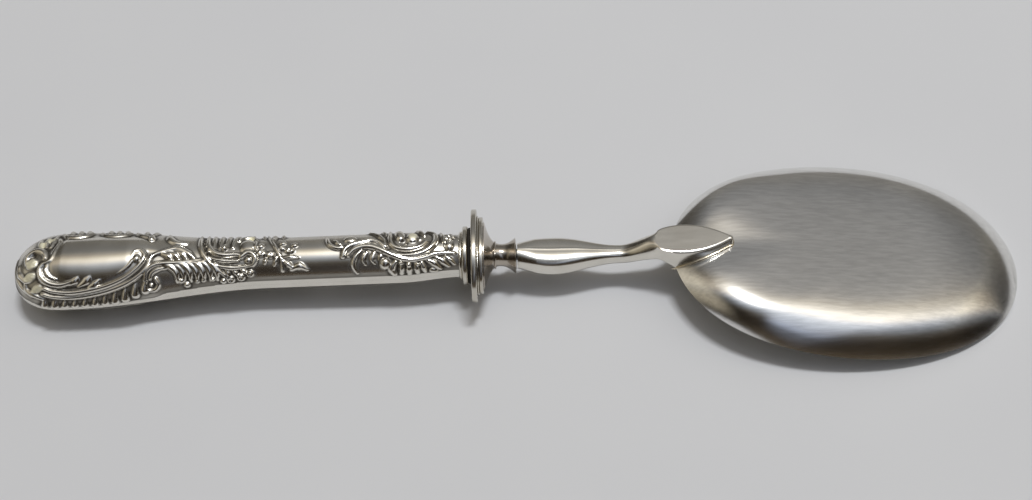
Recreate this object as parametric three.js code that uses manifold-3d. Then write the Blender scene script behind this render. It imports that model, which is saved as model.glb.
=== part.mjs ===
import * as THREE from 'three';
import Module from 'manifold-3d';

// Ice cream server, lying face down: the bowl's back is up, its tip and the handle's butt touch the table.
// Millimetres. +X runs from the butt to the bowl's tip, +Z is up, and z = 0 is the table.

// Handle, two stamped half shells. Each has a plain upright band beside the seam, a crease, then a vault.
const handleLength = 115.5;
const noseLength = 13;
const noseFullness = 2.2;
const buttHalfWidth = 11.1;
const buttHalfThickness = 7.85;
const waistHalfWidth = 6.5;
const waistHalfThickness = 6.3;
const mouthHalfWidth = 5.4;
const mouthHalfThickness = 5.3;
const shoulderStart = 16;
const shoulderLength = 50;
const mouthTaperLength = 15;
const bandAtButt = 0.95;
const bandAtWaist = 1.6;
const shellWall = 0.5;
const seamGap = 0.1;
const cartoucheRise = 1;
const cartoucheMiddle = 23.5;
const cartoucheHalfLength = 13.2;
const cartoucheNearReach = 8.4;
const cartoucheFarReach = 6.2;
const cartoucheRoundness = 0.45;

// Ferrule, a turned collar soldered into the handle's mouth
const sleeveLength = 3;
const sleeveWall = 0.7;
const ferruleBeadWidth = 0.9;
const ferruleBeadProud = 0.9;
const ferruleRingWidth = 1.35;
const ferruleHalfWidth = 7.9;
const ferruleHalfHeight = 6.95;

// Cement that fills the handle and shows in the joint
const cementJointWidth = 0.85;
const cementHalfWidth = 7.6;
const cementHalfHeight = 6.7;

// Guard, two oval plates with a step ring between them
const largePlateThickness = 1.4;
const largePlateHalfWidth = 13;
const largePlateHalfHeight = 9.5;
const stepRingThickness = 0.4;
const stepRingHalfWidth = 11;
const stepRingHalfHeight = 8.4;
const smallPlateThickness = 1.1;
const smallPlateHalfWidth = 10.7;
const smallPlateHalfHeight = 8;
const plateEdgeRound = 0.35;
const guardAboveTable = 1.9;
const restBehindNose = 4.5;

// Trumpet collar and spool: one hollow sweep from the small plate to the neck and out to a knife edge
const trumpetLength = 2.65;
const trumpetBaseHalfWidth = 9.1;
const trumpetBaseHalfHeight = 7.3;
const trumpetLip = 0.25;
const neckReach = 4.7;
const neckRadius = 2.85;
const neckFlare = 2.9;
const spoolLength = 5.7;
const spoolEdgeRadius = 4.6;
const spoolFlare = 1.9;
const spoolBeadProud = 0.12;
const spoolBeadWidth = 0.5;
const spoolGroove = 0.35;
const spoolSag = 0.55;

// Stem, forged in one with its leaf-shaped pad
const stemStartRadius = 3.25;
const bellyHalfWidth = 4.7;
const bellyHalfHeight = 3.5;
const bellyLength = 9.2;
const taperLength = 17.3;
const taperRadius = 2.1;
const startDrop = 0.65;
const bellyDrop = 1.3;
const riseDrop = 1;
const riseLength = 9.2;
const riseFlatOnset = 6;
const facetLength = 18.7;
const facetHalfWidth = 4.2;
const facetWidestAt = 0.45;
const facetBluntness = 1.4;
const facetTipHalfWidth = 0.35;
const leastFlat = 0.05;
const facetTilt = 0.019;
const facetAboveHeelRim = 5.85;
const padFlare = 0.22;
const padCrisp = 0.12;
const padSettle = 7;
const padBellyHalfWidth = 3.2;
const padEndDrop = 1.2;
const padEndReach = 0.8;

// Bowl
const bowlLength = 91.4;
const bowlHalfWidth = 31.4;
const bowlEgg = 0.014;
const bowlSquareness = 0.042;
const bowlDepth = 6.5;
const bowlWall = 1;
const rimWidth = 1.1;
const heelRise = 11.1;
const heelSetback = 4.4;
const tipFullness = 6;
const sideFullness = 6.8;
const cornerFullness = 10;
const cornerAt = 0.75;
const cornerSpread = 0.25;
const heelFullness = 5;
const heelRampSharpness = 14;
const tipWear = 0.2;

// Tang, a spike soldered into the stem and set in the cement
const tangRadius = 1.5;
const tangDepthInStem = 6;
const tangEndX = 62;
const tangEndRadius = 0.9;
const tangSquareFrom = 8;

// Clearances
const seatGap = 0.15;
const cutGap = 0.3;
const faceGap = 0.05;

// Facets
const shellStations = 26;
const noseStations = 6;
const shellArc = 12;
const turnedFacets = 36;
const turnedEdgeSteps = 2;
const stemFacets = 28;
const bowlSpokes = 56;
const bowlRings = 11;
const tangFacets = 16;
const fillerFacets = 16;
const bellySteps = 8;
const taperSteps = 9;
const riseSteps = 7;
const facetSteps = 16;
const sweepSteps = 6;

// Places along X, each from the piece before it
const mouthX = handleLength;
const ferruleBeadX = mouthX + faceGap;
const ferruleRingX = ferruleBeadX + ferruleBeadWidth;
const ferruleEndX = ferruleRingX + ferruleRingWidth;
const cementStartX = ferruleEndX + faceGap;
const cementEndX = cementStartX + cementJointWidth;
const largePlateX = cementEndX + faceGap;
const stepRingX = largePlateX + largePlateThickness + faceGap;
const smallPlateX = stepRingX + stepRingThickness + faceGap;
const trumpetX = smallPlateX + smallPlateThickness + faceGap;
const spoolX = trumpetX + trumpetLength + faceGap;
const stemX = spoolX + spoolLength + cutGap;
const bellyX = stemX + bellyLength;
const taperX = bellyX + taperLength;
const facetX = taperX + riseLength;
const facetEndX = facetX + facetLength;
const heelX = facetX + heelSetback;
const bowlCentreX = heelX + bowlLength / 2;
const overallLength = heelX + bowlLength;

// Heights above the table
const stackZ = largePlateHalfHeight + guardAboveTable;
const rimSlope = heelRise / bowlLength;
const heelRimZ = heelRise - tipWear;
const facetZ = heelRimZ + facetAboveHeelRim;
const restX = noseLength + restBehindNose;
const buttZ = buttHalfThickness + cartoucheHeight(restX, 0) + seamGap / 2;
const handleSlope = (stackZ - buttZ) / (mouthX - restX);

const silver = { color: 0xc9c6bd, metalness: 1, roughness: 0.26 };
const satinSilver = { color: 0xbdbab2, metalness: 1, roughness: 0.34 };
const steel = { color: 0x8b8c8e, metalness: 1, roughness: 0.45 };
const cement = { color: 0x1d1a17, metalness: 0, roughness: 0.85 };

const wasm = await Module();
wasm.setup();

const server = new THREE.Group();
server.position.x = -overallLength / 2;

function addPiece(name, geometry, finish) {
  const mesh = new THREE.Mesh(geometry, new THREE.MeshStandardMaterial(finish));
  mesh.name = name;
  server.add(mesh);
}

function easeInOut(t) {
  const held = THREE.MathUtils.clamp(t, 0, 1);
  return (1 - Math.cos(Math.PI * held)) / 2;
}

function evenSteps(count) {
  return Array.from({ length: count + 1 }, (_, i) => i / count);
}

// One closed body from points and triangles, turned so that its faces point out
function closedBody(points, triangles) {
  let volume = 0;
  for (let i = 0; i < triangles.length; i += 3) {
    const [a, b, c] = [0, 1, 2].map((k) => points[triangles[i + k]]);
    volume += a.dot(b.clone().cross(c));
  }
  if (volume < 0) {
    triangles.reverse();
  }
  const geometry = new THREE.BufferGeometry().setFromPoints(points);
  geometry.setIndex(triangles);
  geometry.computeVertexNormals();
  return geometry;
}

// Skins rings of points in order. Ends close on poles, or the last ring joins the first.
function skinRings(rings, poles) {
  const around = rings[0].length;
  const points = rings.flat();
  const triangles = [];
  const bands = poles ? rings.length - 1 : rings.length;
  for (let i = 0; i < bands; i += 1) {
    const here = i * around;
    const next = ((i + 1) % rings.length) * around;
    for (let j = 0; j < around; j += 1) {
      const k = (j + 1) % around;
      triangles.push(here + j, here + k, next + j);
      triangles.push(here + k, next + k, next + j);
    }
  }
  if (poles) {
    const last = (rings.length - 1) * around;
    const startPole = points.push(poles[0]) - 1;
    const endPole = points.push(poles[1]) - 1;
    for (let j = 0; j < around; j += 1) {
      const k = (j + 1) % around;
      triangles.push(startPole, k, j);
      triangles.push(endPole, last + j, last + k);
    }
  }
  return closedBody(points, triangles);
}

function toSolid(geometry) {
  const vertProperties = new Float32Array(geometry.attributes.position.array);
  const triVerts = new Uint32Array(geometry.index.array);
  return new wasm.Manifold(new wasm.Mesh({ numProp: 3, vertProperties, triVerts }));
}

function fromSolid(solid) {
  const { vertProperties, triVerts } = solid.getMesh();
  const geometry = new THREE.BufferGeometry();
  geometry.setAttribute('position', new THREE.BufferAttribute(vertProperties, 3));
  geometry.setIndex(new THREE.BufferAttribute(triVerts, 1));
  geometry.computeVertexNormals();
  return geometry;
}

function ovalRing(x, halfWidth, halfHeight, z, facets) {
  return evenSteps(facets).slice(0, -1).map((t) => {
    const angle = 2 * Math.PI * t;
    return new THREE.Vector3(x, halfWidth * Math.cos(angle), z + halfHeight * Math.sin(angle));
  });
}

// A turned or oval collar: its closed outline is a list of [x, half width, half height, sag]
function turnedCollar(outline) {
  const rings = outline.map(([x, halfWidth, halfHeight, sag = 0]) => (
    ovalRing(x, halfWidth, halfHeight, stackZ - sag, turnedFacets)
  ));
  return skinRings(rings);
}

// The rounded rim of a plate between two faces
function roundedEdge(startX, endX, halfWidth, halfHeight, round) {
  const corner = Math.min(round, (endX - startX) / 2);
  const first = [];
  const second = [];
  for (const t of evenSteps(turnedEdgeSteps)) {
    const along = corner * (1 - Math.cos(Math.PI * t / 2));
    const inset = corner * (1 - Math.sin(Math.PI * t / 2));
    first.push([startX + along, halfWidth - inset, halfHeight - inset]);
    second.unshift([endX - along, halfWidth - inset, halfHeight - inset]);
  }
  return [...first, ...second];
}

function ovalPlate(startX, thickness, halfWidth, halfHeight) {
  const bore = tangRadius + seatGap;
  return turnedCollar([
    [startX, bore, bore],
    ...roundedEdge(startX, startX + thickness, halfWidth, halfHeight, plateEdgeRound),
    [startX + thickness, bore, bore],
  ]);
}

// Handle outline: round nose, broad butt, waist, then a taper into the ferrule
function noseFactor(x, inset) {
  const reach = noseLength - inset;
  const back = THREE.MathUtils.clamp((noseLength - x) / reach, 0, 1);
  return (1 - back ** noseFullness) ** (1 / noseFullness);
}

function handleSection(x, inset) {
  const shoulder = easeInOut((x - shoulderStart) / shoulderLength);
  const taper = easeInOut((x - (mouthX - mouthTaperLength)) / mouthTaperLength);
  const width = THREE.MathUtils.lerp(buttHalfWidth, waistHalfWidth, shoulder);
  const thickness = THREE.MathUtils.lerp(buttHalfThickness, waistHalfThickness, shoulder);
  return {
    nose: noseFactor(x, inset),
    halfWidth: width - taper * (waistHalfWidth - mouthHalfWidth) - inset,
    halfThickness: thickness - taper * (waistHalfThickness - mouthHalfThickness) - inset,
    band: THREE.MathUtils.lerp(bandAtButt, bandAtWaist, shoulder),
    z: stackZ - handleSlope * (mouthX - x),
  };
}

// The plain raised cartouche that covers the middle of the butt on both faces
function cartoucheHeight(x, arc) {
  const along = (x - cartoucheMiddle) / cartoucheHalfLength;
  if (Math.abs(along) >= 1) {
    return 0;
  }
  const outline = (1 - along ** 2) ** cartoucheRoundness;
  const middle = outline * (cartoucheFarReach - cartoucheNearReach) / 2;
  const across = (arc - middle) / (outline * (cartoucheFarReach + cartoucheNearReach) / 2);
  return Math.abs(across) < 1 ? cartoucheRise * outline * Math.sqrt(1 - across ** 2) : 0;
}

// A vault is the arc of a circle through the crown and both creases
function vaultArc({ halfWidth, halfThickness, band }) {
  const drop = (halfWidth ** 2 + band ** 2 - halfThickness ** 2) / (2 * (halfThickness - band));
  const halfTurn = Math.PI / 2 - Math.atan2(band + drop, halfWidth);
  return { drop, radius: halfThickness + drop, halfTurn };
}

// Place 0 is the crown, 1 and -1 are the creases, and seamPlace either way is the seam below them
const seamPlace = 1.2;

function vaultPoint(section, place, rise) {
  const { drop, radius, halfTurn } = vaultArc(section);
  const turn = halfTurn * THREE.MathUtils.clamp(place, -1, 1);
  const aboveSeam = Math.abs(place) > 1 ? 0 : (radius + rise) * Math.cos(turn) - drop;
  return { y: section.nose * (radius + rise) * Math.sin(turn), up: section.nose * aboveSeam };
}

// Places across a half shell: the seam, the crease, the vault in even steps, the crease, the seam
function shellPlaces() {
  const vault = evenSteps(shellArc).map((t) => 1 - 2 * t);
  return [seamPlace, ...vault, -seamPlace];
}

function handlePoint(x, place, inset, side) {
  const section = handleSection(x, inset);
  const { radius, halfTurn } = vaultArc(section);
  const rise = inset > 0 ? 0 : cartoucheHeight(x, place * radius * halfTurn);
  const { y, up } = vaultPoint(section, place, rise);
  return new THREE.Vector3(x, y, section.z + side * (up + seamGap / 2));
}

function handleStations(inset) {
  const nose = evenSteps(noseStations).map((t) => {
    const forward = Math.cos(Math.PI * t / 2) ** (2 / noseFullness);
    return noseLength - (noseLength - inset) * forward;
  });
  const body = evenSteps(shellStations).slice(1).map((t) => (
    THREE.MathUtils.lerp(noseLength, mouthX, t)
  ));
  return [...nose, ...body];
}

// One half shell: an outer and an inner skin, closed along the seam and at the mouth
function halfShell(side) {
  const stations = handleStations(0);
  const innerStations = handleStations(shellWall);
  const places = shellPlaces();
  const across = places.length;
  const points = [];
  const skins = [[stations, 0], [innerStations, shellWall]].map(([along, inset]) => {
    const pole = points.push(handlePoint(along[0], 0, inset, side)) - 1;
    const grid = along.slice(1).map((x) => places.map((place) => (
      points.push(handlePoint(x, place, inset, side)) - 1
    )));
    return { pole, grid };
  });
  const triangles = [];
  const quad = (a, b, c, d) => triangles.push(a, b, c, a, c, d);
  skins.forEach(({ pole, grid }, k) => {
    const flip = k === 1;
    for (let j = 0; j < across - 1; j += 1) {
      const tip = [pole, grid[0][j], grid[0][j + 1]];
      triangles.push(...(flip ? tip.reverse() : tip));
    }
    for (let i = 0; i < grid.length - 1; i += 1) {
      for (let j = 0; j < across - 1; j += 1) {
        const loop = [grid[i][j], grid[i + 1][j], grid[i + 1][j + 1], grid[i][j + 1]];
        quad(...(flip ? loop.reverse() : loop));
      }
    }
  });
  const [outer, inner] = skins;
  const edges = [0, across - 1];
  edges.forEach((j, k) => {
    const outerEdge = [outer.pole, ...outer.grid.map((row) => row[j])];
    const innerEdge = [inner.pole, ...inner.grid.map((row) => row[j])];
    for (let i = 0; i < outerEdge.length - 1; i += 1) {
      const loop = [outerEdge[i + 1], outerEdge[i], innerEdge[i], innerEdge[i + 1]];
      quad(...(k === 1 ? loop.reverse() : loop));
    }
  });
  const mouth = outer.grid.length - 1;
  for (let j = 0; j < across - 1; j += 1) {
    quad(outer.grid[mouth][j], inner.grid[mouth][j], inner.grid[mouth][j + 1], outer.grid[mouth][j + 1]);
  }
  return closedBody(points, triangles);
}

// Ferrule: a sleeve inside the shells, then a bead and a larger ring that cap their end
function ferrule() {
  const sleeveHalfWidth = mouthHalfWidth - shellWall - seatGap;
  const sleeveHalfHeight = mouthHalfThickness - shellWall - seatGap;
  const boreHalfWidth = sleeveHalfWidth - sleeveWall;
  const boreHalfHeight = sleeveHalfHeight - sleeveWall;
  const sleeveStart = mouthX - sleeveLength;
  const beadHalfWidth = mouthHalfWidth + ferruleBeadProud;
  const beadHalfHeight = mouthHalfThickness + ferruleBeadProud;
  const beadRound = ferruleBeadWidth / 2;
  const ringRound = ferruleRingWidth / 3;
  return turnedCollar([
    [sleeveStart, boreHalfWidth, boreHalfHeight],
    [sleeveStart, sleeveHalfWidth, sleeveHalfHeight],
    [ferruleBeadX, sleeveHalfWidth, sleeveHalfHeight],
    ...roundedEdge(ferruleBeadX, ferruleRingX, beadHalfWidth, beadHalfHeight, beadRound),
    ...roundedEdge(ferruleRingX, ferruleEndX, ferruleHalfWidth, ferruleHalfHeight, ringRound),
    [ferruleEndX, boreHalfWidth, boreHalfHeight],
  ]);
}

// Cement: fills the shells round the tang, passes through the ferrule and spreads in the joint
function handleFiller() {
  const inset = shellWall + seatGap;
  const bore = tangRadius + seatGap;
  const boreEnd = tangEndX - seatGap;
  const fillEndX = mouthX - sleeveLength - seatGap;
  const places = handleStations(inset).filter((x) => x > inset && x < fillEndX);
  const half = evenSteps(fillerFacets / 2).map((t) => seamPlace * (1 - 2 * t));
  const body = [...places, fillEndX].map((x) => {
    const section = handleSection(x, inset);
    const upper = half.map((place) => vaultPoint(section, place, 0));
    const lower = upper.slice(1, -1).reverse().map(({ y, up }) => ({ y, up: -up }));
    return [...upper, ...lower].map(({ y, up }) => new THREE.Vector3(x, y, section.z + up));
  });
  const neckHalfWidth = mouthHalfWidth - shellWall - 2 * seatGap - sleeveWall;
  const neckHalfHeight = mouthHalfThickness - shellWall - 2 * seatGap - sleeveWall;
  const neck = [
    [fillEndX, neckHalfWidth, neckHalfHeight],
    [cementStartX, neckHalfWidth, neckHalfHeight],
    ...roundedEdge(cementStartX, cementEndX, cementHalfWidth, cementHalfHeight, plateEdgeRound),
    [cementEndX, bore, bore],
    [boreEnd, bore, bore],
  ].map(([x, halfWidth, halfHeight]) => ovalRing(x, halfWidth, halfHeight, stackZ, fillerFacets));
  const butt = new THREE.Vector3(inset, 0, handleSection(inset, inset).z);
  return skinRings([...body, ...neck], [butt, new THREE.Vector3(boreEnd, 0, stackZ)]);
}

// The hollow sweep of the neck: oval at the small plate, round at the neck, flared at the knife edge
function neckSweep(x) {
  const neckX = trumpetX + neckReach;
  if (x < neckX) {
    const away = (neckX - x) / (neckReach - trumpetLip);
    const rise = Math.min(away, 1) ** neckFlare;
    return [
      THREE.MathUtils.lerp(neckRadius, trumpetBaseHalfWidth, rise),
      THREE.MathUtils.lerp(neckRadius, trumpetBaseHalfHeight, rise),
    ];
  }
  const edgeX = spoolX + spoolLength - spoolGroove;
  const flare = ((x - neckX) / (edgeX - neckX)) ** spoolFlare;
  const radius = THREE.MathUtils.lerp(neckRadius, spoolEdgeRadius, flare);
  return [radius, radius];
}

function trumpetCollar() {
  const bore = tangRadius + seatGap;
  const endX = trumpetX + trumpetLength;
  const sweep = evenSteps(sweepSteps).map((t) => {
    const x = THREE.MathUtils.lerp(trumpetX + trumpetLip, endX, t);
    return [x, ...neckSweep(x)];
  });
  return turnedCollar([
    [trumpetX, bore, bore],
    [trumpetX, trumpetBaseHalfWidth, trumpetBaseHalfHeight],
    ...sweep,
    [endX, bore, bore],
  ]);
}

// Spool: a fine bead, then the hollow that sinks a little and flares to a knife edge at the stem
function neckSpool() {
  const bore = tangRadius + seatGap;
  const beadEnd = spoolX + spoolBeadWidth;
  const endX = spoolX + spoolLength;
  const beadRadius = neckSweep(spoolX)[0] + spoolBeadProud;
  const hollow = evenSteps(sweepSteps).map((t) => {
    const x = THREE.MathUtils.lerp(beadEnd, endX - spoolGroove, t);
    return [x, ...neckSweep(x), spoolSag * t];
  });
  return turnedCollar([
    [spoolX, bore, bore],
    ...roundedEdge(spoolX, beadEnd, beadRadius, beadRadius, spoolBeadWidth / 2),
    ...hollow,
    [endX, stemStartRadius, stemStartRadius, spoolSag],
    [endX, bore, bore],
  ]);
}

// Bowl back and inside: the same family of curves, the inside smaller by the wall.
// The back is like a pan: nearly flat, with steep sides, steepest at the corners of the heel.
function bowlFullness(angle) {
  const forward = Math.cos(angle);
  if (forward > 0) {
    return THREE.MathUtils.lerp(sideFullness, tipFullness, forward ** 2);
  }
  const corner = Math.exp(-(((-forward - cornerAt) / cornerSpread) ** 2));
  const back = THREE.MathUtils.lerp(sideFullness, cornerFullness, corner);
  return THREE.MathUtils.lerp(back, heelFullness, forward ** heelRampSharpness);
}

// Height of the rim's plane, with the flat that use has worn at the tip
function rimZ(x) {
  return Math.max(rimSlope * (overallLength - x) - tipWear, 0);
}

function bowlPoint(rho, angle, inset, depthInset) {
  const shape = 1 + bowlEgg * Math.cos(angle) + bowlSquareness * Math.cos(2 * angle);
  const x = bowlCentreX + rho * (bowlLength / 2 - inset) * Math.cos(angle);
  const y = rho * (bowlHalfWidth * shape - inset) * Math.sin(angle);
  const crown = (bowlDepth - depthInset) * (1 - rho ** bowlFullness(angle));
  return new THREE.Vector3(x, y, rimZ(x) + crown);
}

function bowlSkin(inset, depthInset) {
  return evenSteps(bowlRings).slice(1).map((t) => (
    evenSteps(bowlSpokes).slice(0, -1).map((turn) => (
      bowlPoint(Math.sin(Math.PI * t / 2), 2 * Math.PI * turn, inset, depthInset)
    ))
  ));
}

function bowl() {
  const back = bowlSkin(0, 0);
  const inside = bowlSkin(rimWidth, bowlWall).reverse();
  return skinRings([...back, ...inside], [
    bowlPoint(0, 0, 0, 0),
    bowlPoint(0, 0, rimWidth, bowlWall),
  ]);
}

// The room that the bowl takes from the pad, a little larger than its back
function bowlEnvelope() {
  const back = bowlSkin(-cutGap, -cutGap);
  const foot = back[back.length - 1].map((point) => point.clone().setZ(0));
  return toSolid(skinRings([...back, foot], [
    bowlPoint(0, 0, -cutGap, -cutGap),
    new THREE.Vector3(bowlCentreX, 0, 0),
  ]));
}

// Stem sections: round up to the taper, then rising and flattening into the leaf-shaped pad
function leafHalfWidth(s) {
  if (s < facetWidestAt) {
    const out = Math.sin(Math.PI * s / (2 * facetWidestAt));
    return THREE.MathUtils.lerp(facetBluntness, facetHalfWidth, out);
  }
  const back = (s - facetWidestAt) / (1 - facetWidestAt);
  return Math.max(facetHalfWidth * (1 - back ** 2), facetTipHalfWidth);
}

function stemRing(x, { halfWidth, topZ, bellyZ, bottomZ, flat, crisp }) {
  const quarter = stemFacets / 4;
  const side = evenSteps(quarter).map((t) => {
    const angle = Math.PI * t / 2;
    const across = THREE.MathUtils.lerp(Math.cos(angle), 1 - t, crisp);
    const up = THREE.MathUtils.lerp(Math.sin(angle), t, crisp);
    return [flat + (halfWidth - flat) * across, bellyZ + (topZ - bellyZ) * up];
  });
  const under = evenSteps(quarter).slice(1, -1).map((t) => {
    const angle = Math.PI * t / 2;
    return [halfWidth * Math.cos(angle), bellyZ - (bellyZ - bottomZ) * Math.sin(angle)];
  });
  const right = [[0, bottomZ], ...under.reverse(), ...side];
  const left = right.slice(1).reverse().map(([y, z]) => [-y, z]);
  return [...right, [0, topZ], ...left].map(([y, z]) => new THREE.Vector3(x, y, z));
}

function ovalSection(halfWidth, halfHeight, z) {
  return {
    flat: leastFlat,
    topZ: z + halfHeight,
    bellyZ: z,
    bottomZ: z - halfHeight,
    halfWidth,
    crisp: 0,
  };
}

// The stem's axis sinks to the belly and comes back a little before the rise
function stemAxisZ(x) {
  const sink = THREE.MathUtils.lerp(startDrop, bellyDrop, easeInOut((x - stemX) / bellyLength));
  return stackZ - THREE.MathUtils.lerp(sink, riseDrop, easeInOut((x - bellyX) / bellyLength));
}

function padSection(s) {
  const flat = leafHalfWidth(s);
  const topZ = facetZ + facetTilt * facetLength * s;
  const bellyZ = heelRimZ + cutGap;
  return {
    flat,
    topZ,
    bellyZ,
    bottomZ: heelRimZ + cutGap / 2,
    halfWidth: flat + padFlare * (topZ - bellyZ),
    crisp: padCrisp,
  };
}

function blendSections(a, b, t) {
  return Object.fromEntries(Object.keys(a).map((key) => [key, THREE.MathUtils.lerp(a[key], b[key], t)]));
}

function stem() {
  const rings = [];
  for (const t of evenSteps(bellySteps)) {
    const out = Math.sin(Math.PI * t / 2);
    const halfWidth = THREE.MathUtils.lerp(stemStartRadius, bellyHalfWidth, out);
    const halfHeight = THREE.MathUtils.lerp(stemStartRadius, bellyHalfHeight, out);
    const x = stemX + bellyLength * t;
    rings.push(stemRing(x, ovalSection(halfWidth, halfHeight, stemAxisZ(x))));
  }
  for (const t of evenSteps(taperSteps).slice(1)) {
    const halfWidth = THREE.MathUtils.lerp(bellyHalfWidth, taperRadius, easeInOut(t));
    const halfHeight = THREE.MathUtils.lerp(bellyHalfHeight, taperRadius, easeInOut(t));
    const x = bellyX + taperLength * t;
    rings.push(stemRing(x, ovalSection(halfWidth, halfHeight, stemAxisZ(x))));
  }
  const start = ovalSection(taperRadius, taperRadius, stemAxisZ(taperX));
  const blunt = padSection(0);
  blunt.halfWidth = padBellyHalfWidth;
  blunt.bellyZ = heelRimZ + facetAboveHeelRim / 3;
  for (const t of evenSteps(riseSteps).slice(1)) {
    const section = blendSections(start, blunt, easeInOut(t));
    section.flat = THREE.MathUtils.lerp(start.flat, blunt.flat, t ** riseFlatOnset);
    rings.push(stemRing(taperX + riseLength * t, section));
  }
  for (const s of evenSteps(facetSteps).slice(1)) {
    const settle = easeInOut(s * facetLength / padSettle);
    const { flat, topZ } = padSection(s);
    const section = { ...blendSections(blunt, padSection(s), settle), flat, topZ };
    rings.push(stemRing(facetX + facetLength * s, section));
  }
  const end = padSection(1);
  end.topZ -= padEndDrop;
  rings.push(stemRing(facetEndX + padEndReach, end));
  const poles = [stemX, facetEndX + padEndReach].map((x, k) => (
    new THREE.Vector3(x, 0, k === 0 ? stackZ : end.bellyZ)
  ));
  const socketRadius = tangRadius + seatGap;
  const socketStart = stemX - cutGap;
  const socketEnd = stemX + tangDepthInStem + seatGap;
  const socket = toSolid(skinRings(
    [socketStart, socketEnd].map((x) => ovalRing(x, socketRadius, socketRadius, stackZ, tangFacets)),
    [socketStart, socketEnd].map((x) => new THREE.Vector3(x, 0, stackZ)),
  ));
  return fromSolid(toSolid(skinRings(rings, poles)).subtract(bowlEnvelope()).subtract(socket));
}

// Tang: round through the collars, then a square spike that tapers in the cement
function tang() {
  const endX = stemX + tangDepthInStem;
  const squareX = ferruleEndX - tangSquareFrom;
  const corner = Math.SQRT1_2;
  const ring = (x, radius, square) => ovalRing(x, radius, radius, 0, tangFacets).map((point) => {
    const reach = Math.max(Math.abs(point.y), Math.abs(point.z));
    const scale = THREE.MathUtils.lerp(1, corner * radius / reach, square);
    return new THREE.Vector3(x, point.y * scale, stackZ + point.z * scale);
  });
  const rings = [
    ring(tangEndX, tangEndRadius, 1),
    ring(squareX, tangRadius, 1),
    ring(squareX + tangRadius, tangRadius, 0),
    ring(endX, tangRadius, 0),
  ];
  return skinRings(rings, [tangEndX, endX].map((x) => new THREE.Vector3(x, 0, stackZ)));
}

addPiece('handle_front_shell', halfShell(1), silver);
addPiece('handle_back_shell', halfShell(-1), silver);
addPiece('handle_filler', handleFiller(), cement);
addPiece('handle_ferrule', ferrule(), silver);
addPiece('large_guard_plate', ovalPlate(
  largePlateX,
  largePlateThickness,
  largePlateHalfWidth,
  largePlateHalfHeight,
), silver);
addPiece('guard_step_ring', ovalPlate(
  stepRingX,
  stepRingThickness,
  stepRingHalfWidth,
  stepRingHalfHeight,
), silver);
addPiece('small_guard_plate', ovalPlate(
  smallPlateX,
  smallPlateThickness,
  smallPlateHalfWidth,
  smallPlateHalfHeight,
), silver);
addPiece('trumpet_collar', trumpetCollar(), silver);
addPiece('neck_spool', neckSpool(), silver);
addPiece('tang', tang(), steel);
addPiece('stem', stem(), silver);
addPiece('bowl', bowl(), satinSilver);

export default server;
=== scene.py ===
import math

import bpy
import numpy as np
from mathutils import Matrix, Vector


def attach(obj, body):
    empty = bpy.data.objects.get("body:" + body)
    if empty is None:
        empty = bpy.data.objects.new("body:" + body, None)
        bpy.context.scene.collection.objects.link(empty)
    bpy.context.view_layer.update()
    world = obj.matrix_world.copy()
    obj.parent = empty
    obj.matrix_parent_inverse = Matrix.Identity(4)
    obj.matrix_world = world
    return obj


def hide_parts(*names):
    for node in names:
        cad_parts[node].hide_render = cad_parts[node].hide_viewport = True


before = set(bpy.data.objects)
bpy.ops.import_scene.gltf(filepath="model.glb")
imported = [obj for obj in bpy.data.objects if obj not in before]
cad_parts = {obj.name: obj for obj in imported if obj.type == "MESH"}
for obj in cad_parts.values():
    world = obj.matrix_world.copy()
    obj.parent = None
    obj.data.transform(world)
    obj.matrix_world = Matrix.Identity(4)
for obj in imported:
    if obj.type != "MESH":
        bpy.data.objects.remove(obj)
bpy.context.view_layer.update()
print("frame loaded")

# Silver ice cream server, lying face down on a white cloth.
# Lengths are millimetres from the handle's butt and heights are above the table. metres() turns them to the
# frame.
overall = 262.0
# stands in for zero under a division
tiny = 1e-9


def metres(points):
    moved = np.array(points, float) - np.array([overall / 2, 0, 0])
    return moved / 1000


def lerp(a, b, t):
    return a + (b - a) * t


def easeInOut(t):
    return (1 - np.cos(np.pi * np.clip(t, 0, 1))) / 2


# Camera at the photograph's angle: 57 degrees above the table, a little rolled
shot = {
    "aim": (129.956, 0.527, 0.0),
    "distance": 371.246,
    "elevation": 57.0,
    "yaw": -0.00919,
    "roll": -0.03281,
    "lens": 48.837,
    "shiftY": 0.0260,
}


def placeCamera():
    up = math.radians(shot["elevation"])
    turn = Matrix.Rotation(-shot["yaw"], 3, "Z")
    right = turn @ Vector((1, 0, 0))
    rise = turn @ Vector((0, math.sin(up), math.cos(up)))
    back = turn @ Vector((0, -math.cos(up), math.sin(up)))
    c, s = math.cos(shot["roll"]), math.sin(shot["roll"])
    right, rise = c * right + s * rise, c * rise - s * right
    eye = Vector(shot["aim"]) + back * shot["distance"]
    data = bpy.data.cameras.new("photoCamera")
    data.lens = shot["lens"]
    data.sensor_width = 36
    data.shift_y = shot["shiftY"]
    data.clip_start = 0.01
    camera = bpy.data.objects.new("photoCamera", data)
    bpy.context.scene.collection.objects.link(camera)
    place = Matrix((right, rise, back)).transposed().to_4x4()
    place.translation = Vector(metres(eye))
    camera.matrix_world = place
    bpy.context.scene.camera = camera


placeCamera()


# Materials
def srgb(hexColour):
    parts = [int(hexColour[i:i + 2], 16) / 255 for i in (1, 3, 5)]
    linear = [c / 12.92 if c <= 0.04045 else ((c + 0.055) / 1.055) ** 2.4 for c in parts]
    return (*linear, 1)


# Adds a shader node, sets and links it, and returns one of its outputs
def addNode(tree, kind, settings=None, links=None, output=0):
    node = tree.nodes.new(kind)
    for key, value in (settings or {}).items():
        if isinstance(key, int) or key in node.inputs:
            node.inputs[key].default_value = value
        else:
            setattr(node, key, value)
    for key, source in (links or {}).items():
        tree.links.new(source, node.inputs[key])
    return node.outputs[output] if node.outputs else None


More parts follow.
